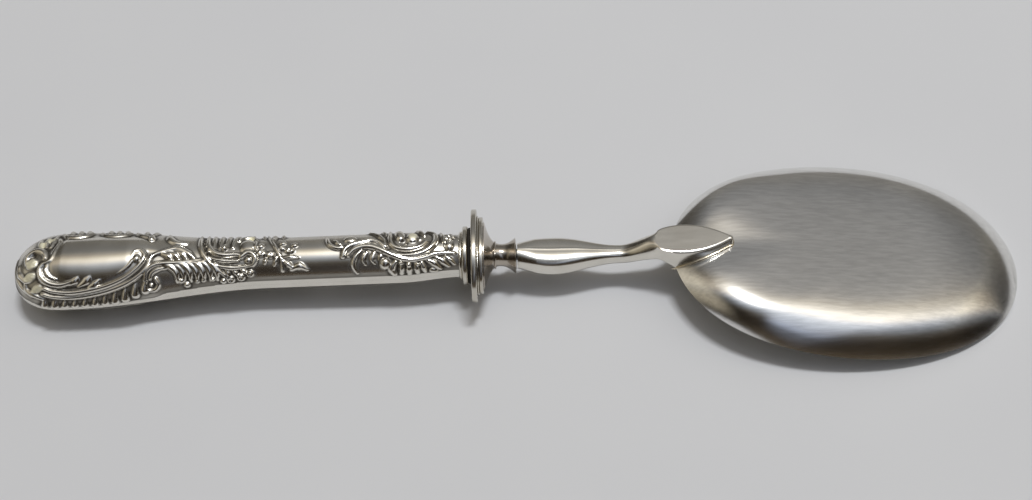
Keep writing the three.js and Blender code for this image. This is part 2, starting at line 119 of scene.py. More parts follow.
def newMaterial(name):
    material = bpy.data.materials.new(name)
    material.use_nodes = True
    tree = material.node_tree
    where = addNode(tree, "ShaderNodeTexCoord", output="Object")
    return material, tree, where


# An output of a node is linked to the shader, a number that is the same all over is set on it
def feedShader(tree, sockets, height=None, depthMm=0):
    shader = tree.nodes["Principled BSDF"]
    if depthMm:
        bump = addNode(
            tree, "ShaderNodeBump", {"Strength": 1.0, "Distance": depthMm / 1000}, {"Height": height})
        sockets = {**sockets, "Normal": bump}
    for key, source in sockets.items():
        if isinstance(source, bpy.types.NodeSocket):
            tree.links.new(source, shader.inputs[key])
        else:
            shader.inputs[key].default_value = source


# Noise drawn out along the spoon, as a wiping cloth leaves it
def wipedNoise(tree, where, look):
    drawn = addNode(
        tree, "ShaderNodeMapping", {"Rotation": (0, 0, look["turn"]), "Scale": (look["stretch"], 1, 1)},
        {"Vector": where})
    return addNode(
        tree, "ShaderNodeTexNoise",
        {"Scale": 1000 / look["cellMm"], "Detail": look["detail"], "Roughness": look["roughness"]},
        {"Vector": drawn})


# Silver, stamped or turned, then polished by hand: a bright mirror, with fine cloth scratches and brown-black
# tarnish left where a cloth doesn't reach. The same dark colour is also painted shade, in the handle's crease
# and on its far flank; the darkening mark says where.
polished = {
    "tarnishAndShade": "#2e271d",
    "tarnishAndShadeRoughness": 0.3,
    "frost": "#f7f3dd",
    "frostRoughness": 0.4,
    "roughnessSpread": (0.8, 1.25),
    "scratch": {"cellMm": 1.4, "stretch": 0.12, "turn": 0, "detail": 3.0, "roughness": 0.6},
    "scratchDepthMm": 0.004,
    "filmCellMm": 6.25,
    "chased": {"clean": "#f2efe7", "film": "#d9d4c8", "roughness": 0.19, "tarnishAndShadeShare": 0.9},
    "turned": {"clean": "#dedad0", "film": "#bfb9ad", "roughness": 0.2, "tarnishAndShadeShare": 0.0},
    "neck": {"clean": "#cfc8be", "film": "#aba194", "roughness": 0.18, "tarnishAndShadeShare": 0.0},
    "forged": {"clean": "#efece4", "film": "#d6d1c6", "roughness": 0.2, "tarnishAndShadeShare": 0.8},
    "soldered": {"clean": "#eee6d6", "film": "#cbbd9f", "roughness": 0.24, "tarnishAndShadeShare": 0.0},
}


def polishedSilver(name, finish):
    material, tree, where = newMaterial(name)
    scratches = wipedNoise(tree, where, polished["scratch"])
    film = addNode(
        tree, "ShaderNodeTexNoise", {"Scale": 1000 / polished["filmCellMm"], "Detail": 4.0},
        {"Vector": where})
    colour = addNode(
        tree, "ShaderNodeMix", {"data_type": "RGBA", 6: srgb(finish["clean"]), 7: srgb(finish["film"])},
        {0: film}, 2)
    least, most = [finish["roughness"] * spread for spread in polished["roughnessSpread"]]
    rough = addNode(tree, "ShaderNodeMapRange", {3: least, 4: most}, {0: scratches})
    # darkening mark: tarnish in the hollows, and painted shade in the handle's crease and on its far flank
    darkening = addNode(tree, "ShaderNodeAttribute", {"attribute_name": "darkening"}, output="Fac")
    share = addNode(tree, "ShaderNodeMath", {"operation": "MULTIPLY", 1: finish["tarnishAndShadeShare"]}, {0: darkening})
    frost = addNode(tree, "ShaderNodeAttribute", {"attribute_name": "frosted"}, output="Fac")
    for key, place in (("tarnishAndShade", share), ("frost", frost)):
        colour = addNode(
            tree, "ShaderNodeMix", {"data_type": "RGBA", 7: srgb(polished[key])}, {0: place, 6: colour}, 2)
        rough = addNode(
            tree, "ShaderNodeMath", {"operation": "MULTIPLY_ADD", 1: polished[key + "Roughness"]},
            {0: place, 2: rough})
    sockets = {"Base Color": colour, "Roughness": rough, "Metallic": 1}
    feedShader(tree, sockets, scratches, polished["scratchDepthMm"])
    return material


# Silver, raised with a hammer, planished and worn satin by years of wiping: soft broad reflections, fine
# scratches and a film of close pale streaks
satin = {
    "clean": "#efeeeb",
    "film": "#dfdedb",
    "roughness": 0.17,
    "roughnessSpread": (0.85, 1.2),
    "scratch": {"cellMm": 2.0, "stretch": 0.06, "turn": 0.12, "detail": 4.0, "roughness": 0.65},
    "scratchDepthMm": 0.01,
    "streak": {"cellMm": 0.7692, "stretch": 0.1, "turn": -0.1, "detail": 5.0, "roughness": 0.6},
    "streakRange": (0.36, 0.64),
}


def satinSilver():
    material, tree, where = newMaterial("satinSilverWiped")
    scratches = wipedNoise(tree, where, satin["scratch"])
    film = wipedNoise(tree, where, satin["streak"])
    low, high = satin["streakRange"]
    streaks = addNode(tree, "ShaderNodeMapRange", {1: low, 2: high}, {0: film})
    colour = addNode(
        tree, "ShaderNodeMix", {"data_type": "RGBA", 6: srgb(satin["clean"]), 7: srgb(satin["film"])},
        {0: streaks}, 2)
    least, most = [satin["roughness"] * spread for spread in satin["roughnessSpread"]]
    rough = addNode(tree, "ShaderNodeMapRange", {3: least, 4: most}, {0: scratches})
    sockets = {"Base Color": colour, "Roughness": rough, "Metallic": 1}
    feedShader(tree, sockets, scratches, satin["scratchDepthMm"])
    return material


# One noise mixes two close colours and, where the stuff has a grain, raises it
def grainedMaterial(name, look):
    material, tree, where = newMaterial(name)
    grain = addNode(
        tree, "ShaderNodeTexNoise", {"Scale": 1000 / look["cellMm"], "Detail": look["detail"]},
        {"Vector": where})
    colour = addNode(
        tree, "ShaderNodeMix", {"data_type": "RGBA", 6: srgb(look["low"]), 7: srgb(look["high"])},
        {0: grain}, 2)
    feedShader(tree, {"Base Color": colour, **look["shader"]}, grain, look["depthMm"])
    return material


# Pitch cement, poured hot and set: dull black with fine grit
cement = grainedMaterial("pitchCementPoured", {
    "low": "#15120f", "high": "#332d26", "cellMm": 0.4, "detail": 2.0, "depthMm": 0.05,
    "shader": {"Roughness": 0.9}})

# Iron, forged and left with its black scale: dull grey, darker in the hammer dents
tangSteel = grainedMaterial("steelForged", {
    "low": "#4b4a49", "high": "#86837f", "cellMm": 1.4286, "detail": 4.0, "depthMm": 0.06,
    "shader": {"Roughness": 0.5, "Metallic": 1}})

# White cotton cloth, smooth woven: plain pale ground
whiteCloth = grainedMaterial("cottonClothWhite", {
    "low": "#d0d0d1", "high": "#d5d5d5", "cellMm": 71.43, "detail": 3.0, "depthMm": 0,
    "shader": {"Roughness": 1, "Specular IOR Level": 0.1}})

chasedSilver = polishedSilver("polishedSilverChased", polished["chased"])
turnedSilver = polishedSilver("polishedSilverTurned", polished["turned"])
neckSilver = polishedSilver("polishedSilverNeckTarnished", polished["neck"])
forgedSilver = polishedSilver("polishedSilverForged", polished["forged"])
solderedSilver = polishedSilver("silverSolderFilled", polished["soldered"])
wipedSilver = satinSilver()


# Meshes
def addPiece(name, points, faces, material, node, sharpAngle=35, darkening=None, frosted=None):
    mesh = bpy.data.meshes.new(name)
    mesh.from_pydata(metres(points).tolist(), [], [list(map(int, f)) for f in faces])
    mesh.validate()
    mesh.update()
    mesh.polygons.foreach_set("use_smooth", [True] * len(mesh.polygons))
    mesh.set_sharp_from_angle(angle=math.radians(sharpAngle))
    for key, values in (("darkening", darkening), ("frosted", frosted)):
        marks = mesh.attributes.new(key, "FLOAT", "POINT")
        values = np.zeros(len(points)) if values is None else values
        marks.data.foreach_set("value", np.asarray(values, np.float32))
    mesh.materials.append(material)
    piece = bpy.data.objects.new(name, mesh)
    bpy.context.scene.collection.objects.link(piece)
    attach(piece, "root")
    if node:
        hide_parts(node)
    return piece


def turnedOut(points, faces):
    p = np.array(points, float)
    volume = 0.0
    for f in faces:
        for k in range(1, len(f) - 1):
            volume += np.dot(p[f[0]], np.cross(p[f[k]], p[f[k + 1]]))
    return faces if volume > 0 else [f[::-1] for f in faces]


def skinRings(rings, closed):
    count = len(rings[0])
    points = [p for ring in rings for p in ring]
    faces = []
    bands = len(rings) if closed else len(rings) - 1
    for i in range(bands):
        a, b = i * count, (i + 1) % len(rings) * count
        for j in range(count):
            k = (j + 1) % count
            faces.append((a + j, a + k, b + k, b + j))
    if not closed:
        last = (len(rings) - 1) * count
        for start in (0, last):
            middle = np.mean(points[start:start + count], axis=0)
            points.append(middle)
            centre = len(points) - 1
            for j in range(count):
                k = (j + 1) % count
                face = (centre, start + k, start + j) if start == 0 else (centre, start + j, start + k)
                faces.append(face)
    return points, turnedOut(points, faces)


# Handle: two stamped half shells. Each has a plain upright band beside the seam, a crease and a vaulted face.
handle = {
    "length": 115.5,
    "noseLength": 13.0,
    "noseFullness": 2.2,
    "buttHalfWidth": 11.1,
    "buttHalfThickness": 7.85,
    "waistHalfWidth": 6.5,
    "waistHalfThickness": 6.3,
    "mouthHalfWidth": 5.4,
    "mouthHalfThickness": 5.3,
    "shoulderStart": 16.0,
    "shoulderLength": 50.0,
    "mouthTaper": 15.0,
    "bandAtButt": 0.95,
    "bandAtWaist": 1.6,
    "wall": 0.5,
    "seamGap": 0.02,
    "cartoucheRise": 0.82,
    "stations": 520,
    "noseStations": 60,
    "across": 150,
    "acrossInside": 8,
}
# the collars' axis, and the handle's axis where its butt rests on the table
stackZ = 11.4
restX = 17.5
buttZ = 8.79


def handleSection(x, inset):
    shoulder = easeInOut((x - handle["shoulderStart"]) / handle["shoulderLength"])
    taper = easeInOut((x - handle["length"] + handle["mouthTaper"]) / handle["mouthTaper"])
    halfWidth, halfThickness = [
        lerp(handle["butt" + key], handle["waist" + key], shoulder)
        - taper * (handle["waist" + key] - handle["mouth" + key]) - inset
        for key in ("HalfWidth", "HalfThickness")]
    reach = handle["noseLength"] - inset
    back = np.clip((handle["noseLength"] - x) / reach, 0, 1)
    nose = (1 - back ** handle["noseFullness"]) ** (1 / handle["noseFullness"])
    band = lerp(handle["bandAtButt"], handle["bandAtWaist"], shoulder)
    z = stackZ - (stackZ - buttZ) / (handle["length"] - restX) * (handle["length"] - x)
    return halfWidth * nose, halfThickness * nose, band * nose, z


def vault(x, inset):
    halfWidth, halfThickness, band, z = handleSection(x, inset)
    drop = (halfWidth ** 2 + band ** 2 - halfThickness ** 2) / (2 * (halfThickness - band) + tiny)
    radius = halfThickness + drop
    crease = np.arctan2(band + drop, halfWidth)
    return halfWidth, band, z, drop, radius, crease


# A grid of points over one half shell, and the arc length of each from the crown line
def shellGrid(x, columns, inset, side):
    halfWidth, band, z, drop, radius, crease = [v[:, None] for v in vault(x, inset)]
    half = radius * (np.pi / 2 - crease)
    total = half + band
    along = np.linspace(-1, 1, columns + 1)[None, :] * total
    arc = np.clip(along, -half, half)
    angle = np.pi / 2 - arc / np.maximum(radius, tiny)
    y = np.where(np.abs(along) > half, np.sign(along) * halfWidth, radius * np.cos(angle))
    up = np.where(np.abs(along) > half, band - (np.abs(along) - half), radius * np.sin(angle) - drop)
    up = up + handle["seamGap"] / 2
    grid = np.stack([x[:, None] + 0 * y, y, z + side * up], -1)
    return grid, along, half


def gridNormals(grid, side):
    alongX = np.gradient(grid, axis=0)
    across = np.gradient(grid, axis=1)
    normal = np.cross(alongX, across) * side
    return normal / np.maximum(np.linalg.norm(normal, axis=-1, keepdims=True), tiny)


# Relief tools. They raise the field of heights over the handle, in mm of length and arc from the crown line.
# A path is a smooth curve through its points.
def smoothPath(points, steps=9):
    p = np.array(points, float)
    if len(p) < 3:
        t = np.linspace(0, 1, 2)[:, None]
        return p[0] * (1 - t) + p[1] * t
    ends = np.vstack([2 * p[0] - p[1], p, 2 * p[-1] - p[-2]])
    out = []
    for i in range(1, len(ends) - 2):
        a, b, c, d = ends[i - 1:i + 3]
        for t in np.linspace(0, 1, steps, endpoint=False):
            out.append(0.5 * (2 * b + (c - a) * t + (2 * a - 5 * b + 4 * c - d) * t ** 2
                              + (3 * b - a - 3 * c + d) * t ** 3))
    out.append(p[-1])
    return np.array(out)


relief = {"ridgeRoundness": 0.65, "ridgeTaper": 0.7, "frostSteepness": 2.2}


class Relief:
    def __init__(self, x, arc):
        self.x = x
        self.arc = arc
        self.height = np.zeros_like(x)
        self.pale = np.zeros_like(x)

    def near(self, points, reach):
        low = points.min(0) - reach
        high = points.max(0) + reach
        return (self.x > low[0]) & (self.x < high[0]) & (self.arc > low[1]) & (self.arc < high[1])

    # How far each near point is from the path, and how far along it
    def measure(self, path, inside):
        spots = np.stack([self.x[inside], self.arc[inside]], -1)
        best = np.full(len(spots), np.inf)
        place = np.zeros(len(spots))
        lengths = np.linalg.norm(np.diff(path, axis=0), axis=1)
        ends = np.concatenate([[0], np.cumsum(lengths)])
        for a, b, start, length in zip(path[:-1], path[1:], ends, lengths):
            t = np.clip(((spots - a) @ (b - a)) / max(length ** 2, tiny), 0, 1)
            d = np.linalg.norm(spots - (a + t[:, None] * (b - a)), axis=1)
            closer = d < best
            best[closer] = d[closer]
            place[closer] = (start + t * length)[closer] / ends[-1]
        return best, place

    # A round ridge along a path, whose half width goes evenly through the widths
    def ridge(self, points, widths, height):
        path = smoothPath(points)
        inside = self.near(path, max(widths))
        if not inside.any():
            return
        distance, place = self.measure(path, inside)
        width = np.interp(place, np.linspace(0, 1, len(widths)), widths)
        bulge = np.clip(1 - (distance / width) ** 2, 0, 1) ** relief["ridgeRoundness"]
        tall = height * np.minimum(width / max(widths), 1) ** relief["ridgeTaper"]
        here = self.height[inside]
        self.height[inside] = np.where(bulge > 0, np.maximum(here, tall * bulge), here)

    def bead(self, x, arc, radius, height, tall=1.0, lean=0.0):
        c, s = math.cos(lean), math.sin(lean)
        dx, da = self.x - x, self.arc - arc
        u, v = c * dx + s * da, (c * da - s * dx) / tall
        bulge = np.sqrt(np.clip(1 - (u * u + v * v) / radius ** 2, 0, 1))
        self.height = np.where(bulge > 0, np.maximum(self.height, height * bulge), self.height)

    def hollow(self, x, arc, radius, depth):
        dx, da = self.x - x, self.arc - arc
        self.height = self.height - depth * np.clip(1 - (dx * dx + da * da) / radius ** 2, 0, 1)

    # A cell left frosted by a matting punch
    def frost(self, x, arc, radius, tall=1.0):
        dx, da = self.x - x, (self.arc - arc) / tall
        spot = np.clip(relief["frostSteepness"] * (1 - (dx * dx + da * da) / radius ** 2), 0, 1)
        self.pale = np.maximum(self.pale, spot)


def softened(field, passes):
    out = field.copy()
    for _ in range(passes):
        padded = np.pad(out, 1, mode="edge")
        out = (padded[:-2, 1:-1] + padded[2:, 1:-1] + padded[1:-1, :-2] + padded[1:-1, 2:] + 2 * out) / 6
    return out


def buttOrnament(r):
    # rim of the nose, and the crescent that hooks round the shell cells
    r.ridge([(1.3, 1.4), (1.2, -1.6), (2.0, -4.6), (3.6, -7.4), (6.0, -10.2)], [0.3, 0.5, 0.5, 0.3], 0.35)
    r.ridge([(4.9, -1.6), (4.9, 0.2), (6.2, 1.5), (8.0, 1.7), (9.5, 0.7), (10.0, -0.9)],
            [0.5, 1.0, 0.9, 0.6], 0.8)
    r.hollow(6.9, 0.2, 0.8, 0.35)
    for x, arc, radius, tall, lean in ((6.5, -2.0, 1.65, 0.95, 0.0), (6.1, -5.4, 1.8, 0.75, 0.3),
                                       (8.0, -8.7, 1.7, 0.65, 0.5)):
        r.bead(x, arc, radius, 0.5, tall=tall, lean=lean)
        r.frost(x, arc, radius, tall)
        for turn in (0.3, 1.6, 2.7, 4.0, 5.3):
            r.hollow(x + 0.85 * math.cos(turn), arc + 0.6 * math.sin(turn), 0.36, 0.2)
        r.hollow(x, arc, 0.34, 0.18)
    r.ridge([(2.5, -1.2), (2.8, -3.4), (4.0, -5.2), (5.0, -6.3)], [0.4, 0.8, 0.5], 0.75)
    r.ridge([(4.6, -6.9), (5.2, -8.6), (7.0, -10.1), (9.2, -11.4)], [0.4, 0.8, 0.5], 0.75)
    # ridge that runs down into the inner scroll
    r.ridge([(13.1, 4.8), (12.7, 2.4), (12.2, 0.2), (11.6, -1.6), (10.2, -2.4)], [0.4, 0.7, 0.8, 0.6], 0.85)
    r.ridge([(9.7, -2.4), (8.9, -4.0), (9.6, -6.2), (11.6, -7.7), (14.2, -8.2), (16.8, -7.6), (19.0, -6.3)],
            [0.7, 1.0, 0.9, 0.5], 0.95)
    r.ridge([(10.9, -2.8), (10.6, -4.4), (11.7, -6.0), (13.6, -6.7)], [0.4, 0.55, 0.25], 0.8)
    for points, widths in (([(16.6, -8.2), (18.2, -7.2), (19.3, -5.8)], [0.5, 1.1, 0.5]),
                           ([(19.0, -8.7), (21.0, -7.4), (22.7, -5.1)], [0.5, 1.25, 0.4]),
                           ([(21.4, -9.1), (23.0, -8.3), (24.6, -6.9)], [0.5, 1.0, 0.4]),
                           ([(23.4, -9.4), (25.2, -9.0), (27.0, -8.5)], [0.4, 0.7, 0.3])):
        r.ridge(points, widths, 0.85)
    # long double band under the cartouche, curling into a bud
    r.ridge([(9.9, -8.7), (12.2, -9.7), (16.5, -10.2), (21.0, -9.8), (26.0, -8.7), (30.4, -6.9),
             (33.4, -4.7), (35.2, -2.4), (35.4, -0.6), (34.3, 0.5), (32.9, 0.1), (32.3, -1.2)],
            [0.6, 0.8, 0.8, 0.7, 0.6], 0.95)
    r.ridge([(9.4, -10.2), (12.0, -11.1), (16.5, -11.5), (21.0, -11.1), (26.2, -10.0), (31.2, -8.1),
             (34.8, -5.7), (36.7, -3.3), (37.3, -1.2)], [0.5, 0.75, 0.75, 0.5], 0.85)
    r.bead(33.6, -1.9, 1.0, 1.0, tall=1.3, lean=-0.3)
    r.ridge([(32.6, -2.4), (31.7, -3.7), (30.0, -5.1), (28.0, -6.3)], [0.65, 0.6, 0.5, 0.2], 0.8)
    # fringe of pointed teeth between the band and the crease
    for i in range(11):
        x = 9.6 + 2.6 * i
        apex = np.interp(x, [9, 12, 16.5, 21, 26, 31, 36], [-11.2, -12.0, -12.4, -12.0, -11.0, -9.2, -7.0])
        base = np.interp(x, [9, 16.5, 24, 30, 37], [-14.0, -14.5, -14.2, -13.5, -12.5])
        base = max(base, apex - 2.9)
        r.ridge([(x - 0.1, base), (x + 0.2, apex)], [1.2, 0.7, 0.12], 0.9)
    for x, arc, radius in ((8.6, 3.6, 1.3), (10.4, 5.2, 1.2), (62.2, 4.4, 1.0), (103.9, 2.3, 1.3)):
        r.frost(x, arc, radius)
    # leaf rays above the crescent, then the broken scrolls of the far border
    for points in ([(8.2, 2.6), (7.2, 6.6)], [(9.5, 2.8), (9.5, 7.4)], [(10.8, 2.6), (11.6, 7.6)]):
        r.ridge(points, [0.4, 0.85, 0.5], 0.6)
    r.ridge([(12.4, 5.8), (13.8, 3.0)], [0.4, 0.65, 0.3], 0.7)
    r.ridge([(13.2, 8.4), (14.6, 5.2)], [0.4, 0.65, 0.3], 0.7)
    for x in (14.4, 24.4):
        r.ridge([(x - 1.6, 8.6), (x, 6.7), (x + 2.6, 6.2), (x + 4.8, 6.9), (x + 6.0, 8.5)],
                [0.6, 1.0, 0.6], 0.8)
        for reach in (0.4, 2.6, 4.8):
            r.ridge([(x + reach, 8.2), (x + reach - 0.3, 12.2)], [0.7, 0.85, 0.5], 0.7)
    r.ridge([(32.0, 8.4), (33.4, 6.6), (35.4, 5.6), (36.8, 4.6)], [0.6, 0.95, 0.7], 0.85)
    r.ridge([(34.2, 8.0), (34.0, 11.6)], [0.6, 0.8, 0.5], 0.7)
    r.ridge([(36.4, 7.2), (37.0, 10.8)], [0.6, 0.8, 0.5], 0.7)
    r.bead(36.4, 5.0, 0.95, 0.95, tall=1.4)


def middleOrnament(r):
    # upper plume with its lobes
    r.ridge([(36.8, -2.4), (38.0, -0.9), (40.0, 0.0), (42.0, 0.6), (43.6, 0.9), (45.4, 0.2), (47.0, -0.9),
             (48.8, -2.5)], [0.5, 0.6, 0.8, 1.05, 0.95, 0.3], 0.9)
    for points in ([(40.0, -0.6), (41.6, -1.3), (42.8, -2.6)], [(41.6, -0.4), (43.3, -1.0), (44.6, -2.5)],
                   [(43.4, 0.0), (45.1, -0.7), (46.4, -2.3)]):
        r.ridge(points, [0.55, 0.95, 0.35], 0.85)
    # lower plume: its stem and seven long lobes
    r.ridge([(35.7, -7.4), (36.2, -5.2), (38.0, -3.7), (40.6, -3.2), (43.6, -3.1), (46.6, -2.8),
             (50.0, -2.2)], [0.5, 0.75, 0.75, 0.6, 0.3], 0.85)
    r.ridge([(37.0, -7.0), (37.6, -5.6), (39.4, -4.6), (41.4, -4.4)], [0.5, 0.65, 0.4], 0.65)
    for i in range(7):
        x = 40.4 + 1.68 * i
        rise = 0.16 * i
        r.ridge([(x, -3.6 + rise), (x + 1.8, -4.1 + rise), (x + 3.3, -5.6 + 0.5 * rise),
                 (x + 3.5, -7.9 + 0.3 * rise)], [0.6, 1.0, 0.9, 0.35], 0.9 - 0.12 * (i % 2))
    for x, arc, radius in ((44.9, -7.7, 0.7), (46.2, -8.8, 0.8), (48.8, -7.9, 0.6), (50.4, -7.6, 0.6),
                           (52.8, -7.4, 0.6), (55.4, -8.0, 0.8)):
        r.bead(x, arc, radius, 0.75)
    # small volute and its ball
    r.ridge([(38.4, -7.1), (39.0, -8.7), (38.0, -10.0), (36.4, -10.0), (35.6, -8.8), (36.1, -7.7)],
            [0.5, 0.65, 0.5, 0.4], 0.8)
    r.bead(37.2, -8.8, 0.5, 0.6)
    r.ridge([(40.6, 7.2), (41.0, 5.2), (42.2, 3.6), (44.0, 2.7), (45.8, 2.7)], [0.6, 1.15, 0.95, 0.4], 0.8)
    # large scroll: a pierced outer rib and three inner ribs
    r.ridge([(49.0, 6.6), (49.2, 3.4), (49.8, 0.6), (51.2, -1.9), (53.2, -3.9), (55.2, -5.8), (56.6, -7.4)],
            [0.4, 0.65, 0.65, 0.4], 0.85)
    r.ridge([(50.9, 6.6), (51.2, 3.2), (51.9, 0.9), (53.5, -0.7), (56.0, -1.3), (58.8, -1.2), (60.4, -1.6)],
            [0.45, 0.75, 0.85, 0.5], 0.95)
    r.ridge([(51.2, -1.3), (53.2, -2.3), (56.2, -2.8), (59.4, -2.8)], [0.4, 0.65, 0.4], 0.8)
    r.ridge([(52.4, -2.8), (54.4, -4.0), (57.2, -4.5), (60.0, -4.5), (62.2, -4.2)], [0.4, 0.75, 0.5], 0.75)
    for x, arc, radius in ((51.7, -0.9, 0.6), (51.0, 0.9, 0.55), (50.5, 2.7, 0.5), (50.2, 4.5, 0.5),
                           (53.0, -2.9, 0.45)):
        r.hollow(x, arc, radius, 0.55)
    for x in (53.0, 54.6, 56.2, 57.8):
        lean = (x - 55.0) * 0.25
        r.ridge([(x, 0.9), (x + lean / 2, 3.8), (x + lean, 7.0)], [0.4, 0.78, 0.55], 0.7)
    r.bead(55.7, 1.0, 0.7, 0.85, tall=1.5)
    # end volute, smooth pod and the fringe of balls
    r.ridge([(60.2, -1.9), (61.6, -0.8), (63.0, -1.1), (63.9, -2.5), (63.2, -3.9), (61.8, -4.3)],
            [0.7, 0.85, 0.65, 0.4], 0.95)
    r.bead(62.0, -2.7, 0.9, 0.5)
    r.bead(61.5, 1.5, 2.0, 0.65, tall=1.35)
    r.ridge([(59.2, 3.4), (60.4, 5.0), (62.4, 5.2), (63.7, 3.4)], [0.45, 0.65, 0.4], 0.75)
    r.ridge([(63.5, 2.8), (63.6, 1.2), (64.1, -0.2)], [0.4, 0.5, 0.3], 0.75)
    for x, arc, radius in ((57.3, -7.6, 1.1), (59.9, -7.1, 1.1), (62.3, -6.2, 1.0)):
        r.bead(x, arc, radius, 0.75)
        r.hollow(x, arc, radius * 0.5, 0.45)
    for points in ([(56.4, -5.2), (57.0, -6.6)], [(58.2, -5.3), (59.0, -6.4)], [(60.4, -5.2), (61.2, -5.8)]):
        r.ridge(points, [0.5, 0.7, 0.5], 0.65)
    # flower sprig
    r.ridge([(66.2, 6.4), (67.6, 2.8), (69.2, -0.2), (70.4, -2.6), (70.7, -5.8)], [0.35, 0.45, 0.3], 0.75)
    for x, arc, radius, tall in ((64.9, 1.3, 0.95, 1.0), (65.3, -1.0, 1.3, 0.9), (67.7, -1.5, 1.0, 1.1),
                                 (70.6, 1.9, 0.9, 0.8), (70.5, 0.2, 1.0, 0.8), (72.5, -0.6, 1.3, 0.6),
                                 (73.6, 1.1, 0.9, 0.9)):
        r.bead(x, arc, radius, 0.65, tall=tall)
        r.hollow(x, arc, radius * 0.35, 0.3)
    for points, widths in (([(70.6, -2.8), (72.4, -2.4), (74.8, -2.6)], [0.4, 0.7, 0.25]),
                           ([(70.9, -3.2), (72.4, -4.3), (73.6, -5.3)], [0.4, 0.75, 0.4]),
                           ([(73.0, -5.5), (75.0, -4.7), (77.0, -5.7)], [0.4, 1.05, 0.3]),
                           ([(66.8, 4.4), (67.8, 3.0), (68.6, 4.6)], [0.4, 0.6, 0.3]),
                           ([(69.4, -2.2), (68.6, -4.4)], [0.4, 0.55, 0.2]),
                           ([(66.6, -2.4), (66.2, -4.0)], [0.3, 0.55, 0.2]),
                           ([(58.6, 7.2), (59.5, 3.6)], [0.4, 0.75, 0.4]),
                           ([(62.2, 7.0), (62.8, 5.8)], [0.4, 0.6, 0.4]),
                           ([(65.0, 6.8), (65.6, 4.4)], [0.4, 0.6, 0.3]),
                           ([(68.0, 7.0), (68.2, 3.6)], [0.5, 0.9, 0.5]),
                           ([(70.2, 7.0), (70.4, 4.2)], [0.4, 0.6, 0.3])):
        r.ridge(points, widths, 0.7)


def mouthOrnament(r):
    # hook and smooth boss, then the long curl of the plume
    r.ridge([(81.9, 3.0), (82.3, 1.3), (83.3, 0.1), (84.8, -0.5), (86.0, -0.3)], [0.4, 0.7, 0.6], 0.8)
    r.ridge([(83.9, 2.2), (84.7, 1.0), (85.6, 0.6)], [0.3, 0.5, 0.3], 0.6)
    r.bead(87.9, 2.3, 1.75, 0.7, tall=0.75)
    r.ridge([(86.2, -2.8), (86.7, -1.0), (88.4, 0.3), (90.8, 0.9), (93.2, 1.5), (95.2, 0.9), (96.8, -0.6)],
            [0.6, 0.85, 0.75, 0.4], 0.9)
    r.ridge([(87.6, -2.6), (88.8, -1.2), (90.8, -0.4), (93.2, -0.4), (95.4, -1.2), (97.6, -2.3), (99.8, -3.3),
             (102.0, -4.0), (104.6, -4.1), (107.2, -3.5), (109.6, -2.6), (112.2, -2.3), (114.6, -2.4)],
            [0.5, 0.9, 0.85, 0.7, 0.7, 0.4], 0.95)
    r.ridge([(91.8, 0.5), (94.2, 0.3), (96.4, -0.9)], [0.3, 0.5, 0.2], 0.75)
    r.ridge([(90.9, -1.4), (89.4, -3.0), (88.9, -5.2), (89.7, -7.3)], [0.4, 0.7, 0.6, 0.3], 0.7)
    for points in ([(92.4, -1.8), (91.5, -3.4), (91.9, -5.0)], [(94.2, -2.0), (93.7, -3.6), (94.3, -4.8)],
                   [(96.0, -2.4), (95.5, -4.0)]):
        r.ridge(points, [0.45, 0.75, 0.3], 0.55)
    r.ridge([(92.6, 5.6), (94.6, 3.8), (96.4, 1.6), (97.2, -0.6)], [0.4, 0.65, 0.4], 0.7)
    r.ridge([(96.0, 6.4), (97.0, 3.6)], [0.4, 0.6, 0.3], 0.6)
    r.bead(96.9, -5.0, 1.35, 0.95, tall=1.1)
    # oval scroll round the pearl and the boss
    r.ridge([(98.0, 5.0), (98.1, 1.6), (99.0, -0.5), (101.2, -1.4), (103.8, -1.4), (106.0, -0.7),
             (107.4, 0.8)], [0.5, 0.7, 0.75, 0.5], 0.9)
    r.ridge([(98.3, -1.8), (100.2, -2.8), (103.4, -3.0), (106.4, -2.3), (108.6, -0.8), (109.8, 1.2),
             (109.4, 3.8), (107.4, 5.8)], [0.4, 0.7, 0.8, 0.5], 0.9)
    r.bead(100.5, 3.2, 1.35, 1.0, tall=1.8, lean=0.25)
    r.bead(103.8, 2.3, 1.6, 0.8, tall=1.15)
    r.ridge([(104.8, 6.6), (105.9, 4.6), (106.9, 3.0)], [0.6, 0.85, 0.4], 0.8)
    r.hollow(101.7, 0.5, 1.1, 0.4)
    r.hollow(105.8, 0.9, 0.9, 0.3)
    # fan of flutes, then the leaves and the rosette before the ferrule
    for points, widths in (([(99.6, -4.6), (98.5, -6.4), (99.2, -8.0)], [0.5, 1.05, 0.7]),
                           ([(101.2, -4.9), (101.0, -7.8)], [0.5, 0.8, 0.5]),
                           ([(102.9, -5.0), (103.0, -8.2)], [0.6, 0.9, 0.5]),
                           ([(104.6, -5.0), (105.1, -7.9)], [0.5, 0.8, 0.4]),
                           ([(106.2, -4.9), (107.0, -7.3)], [0.5, 0.8, 0.4])):
        r.ridge(points, widths, 0.75)
    for x, arc, radius in ((100.9, -4.9, 0.6), (102.9, -5.4, 0.8), (105.2, -5.2, 0.55)):
        r.bead(x, arc, radius, 0.95)
    for points, widths in (([(107.6, -4.2), (109.2, -4.9), (110.9, -6.4)], [0.5, 1.05, 0.4]),
                           ([(109.8, -3.4), (111.4, -4.3), (113.0, -5.7)], [0.5, 1.0, 0.4]),
                           ([(112.2, -3.2), (113.5, -4.1), (114.5, -5.2)], [0.4, 0.7, 0.3]),
                           ([(110.8, 4.8), (111.5, 2.6), (111.9, 0.4)], [0.4, 0.6, 0.4])):
        r.ridge(points, widths, 0.8)
    r.bead(109.2, -6.9, 1.2, 0.55, tall=0.7)
    for turn in range(5):
        lean = turn * 2 * math.pi / 5
        r.bead(113.1 + 0.95 * math.cos(lean), 2.6 + 0.95 * math.sin(lean), 0.72, 0.6)
    r.bead(113.1, 2.6, 0.45, 0.9)
    r.bead(113.2, -0.4, 1.15, 0.75, tall=1.2)


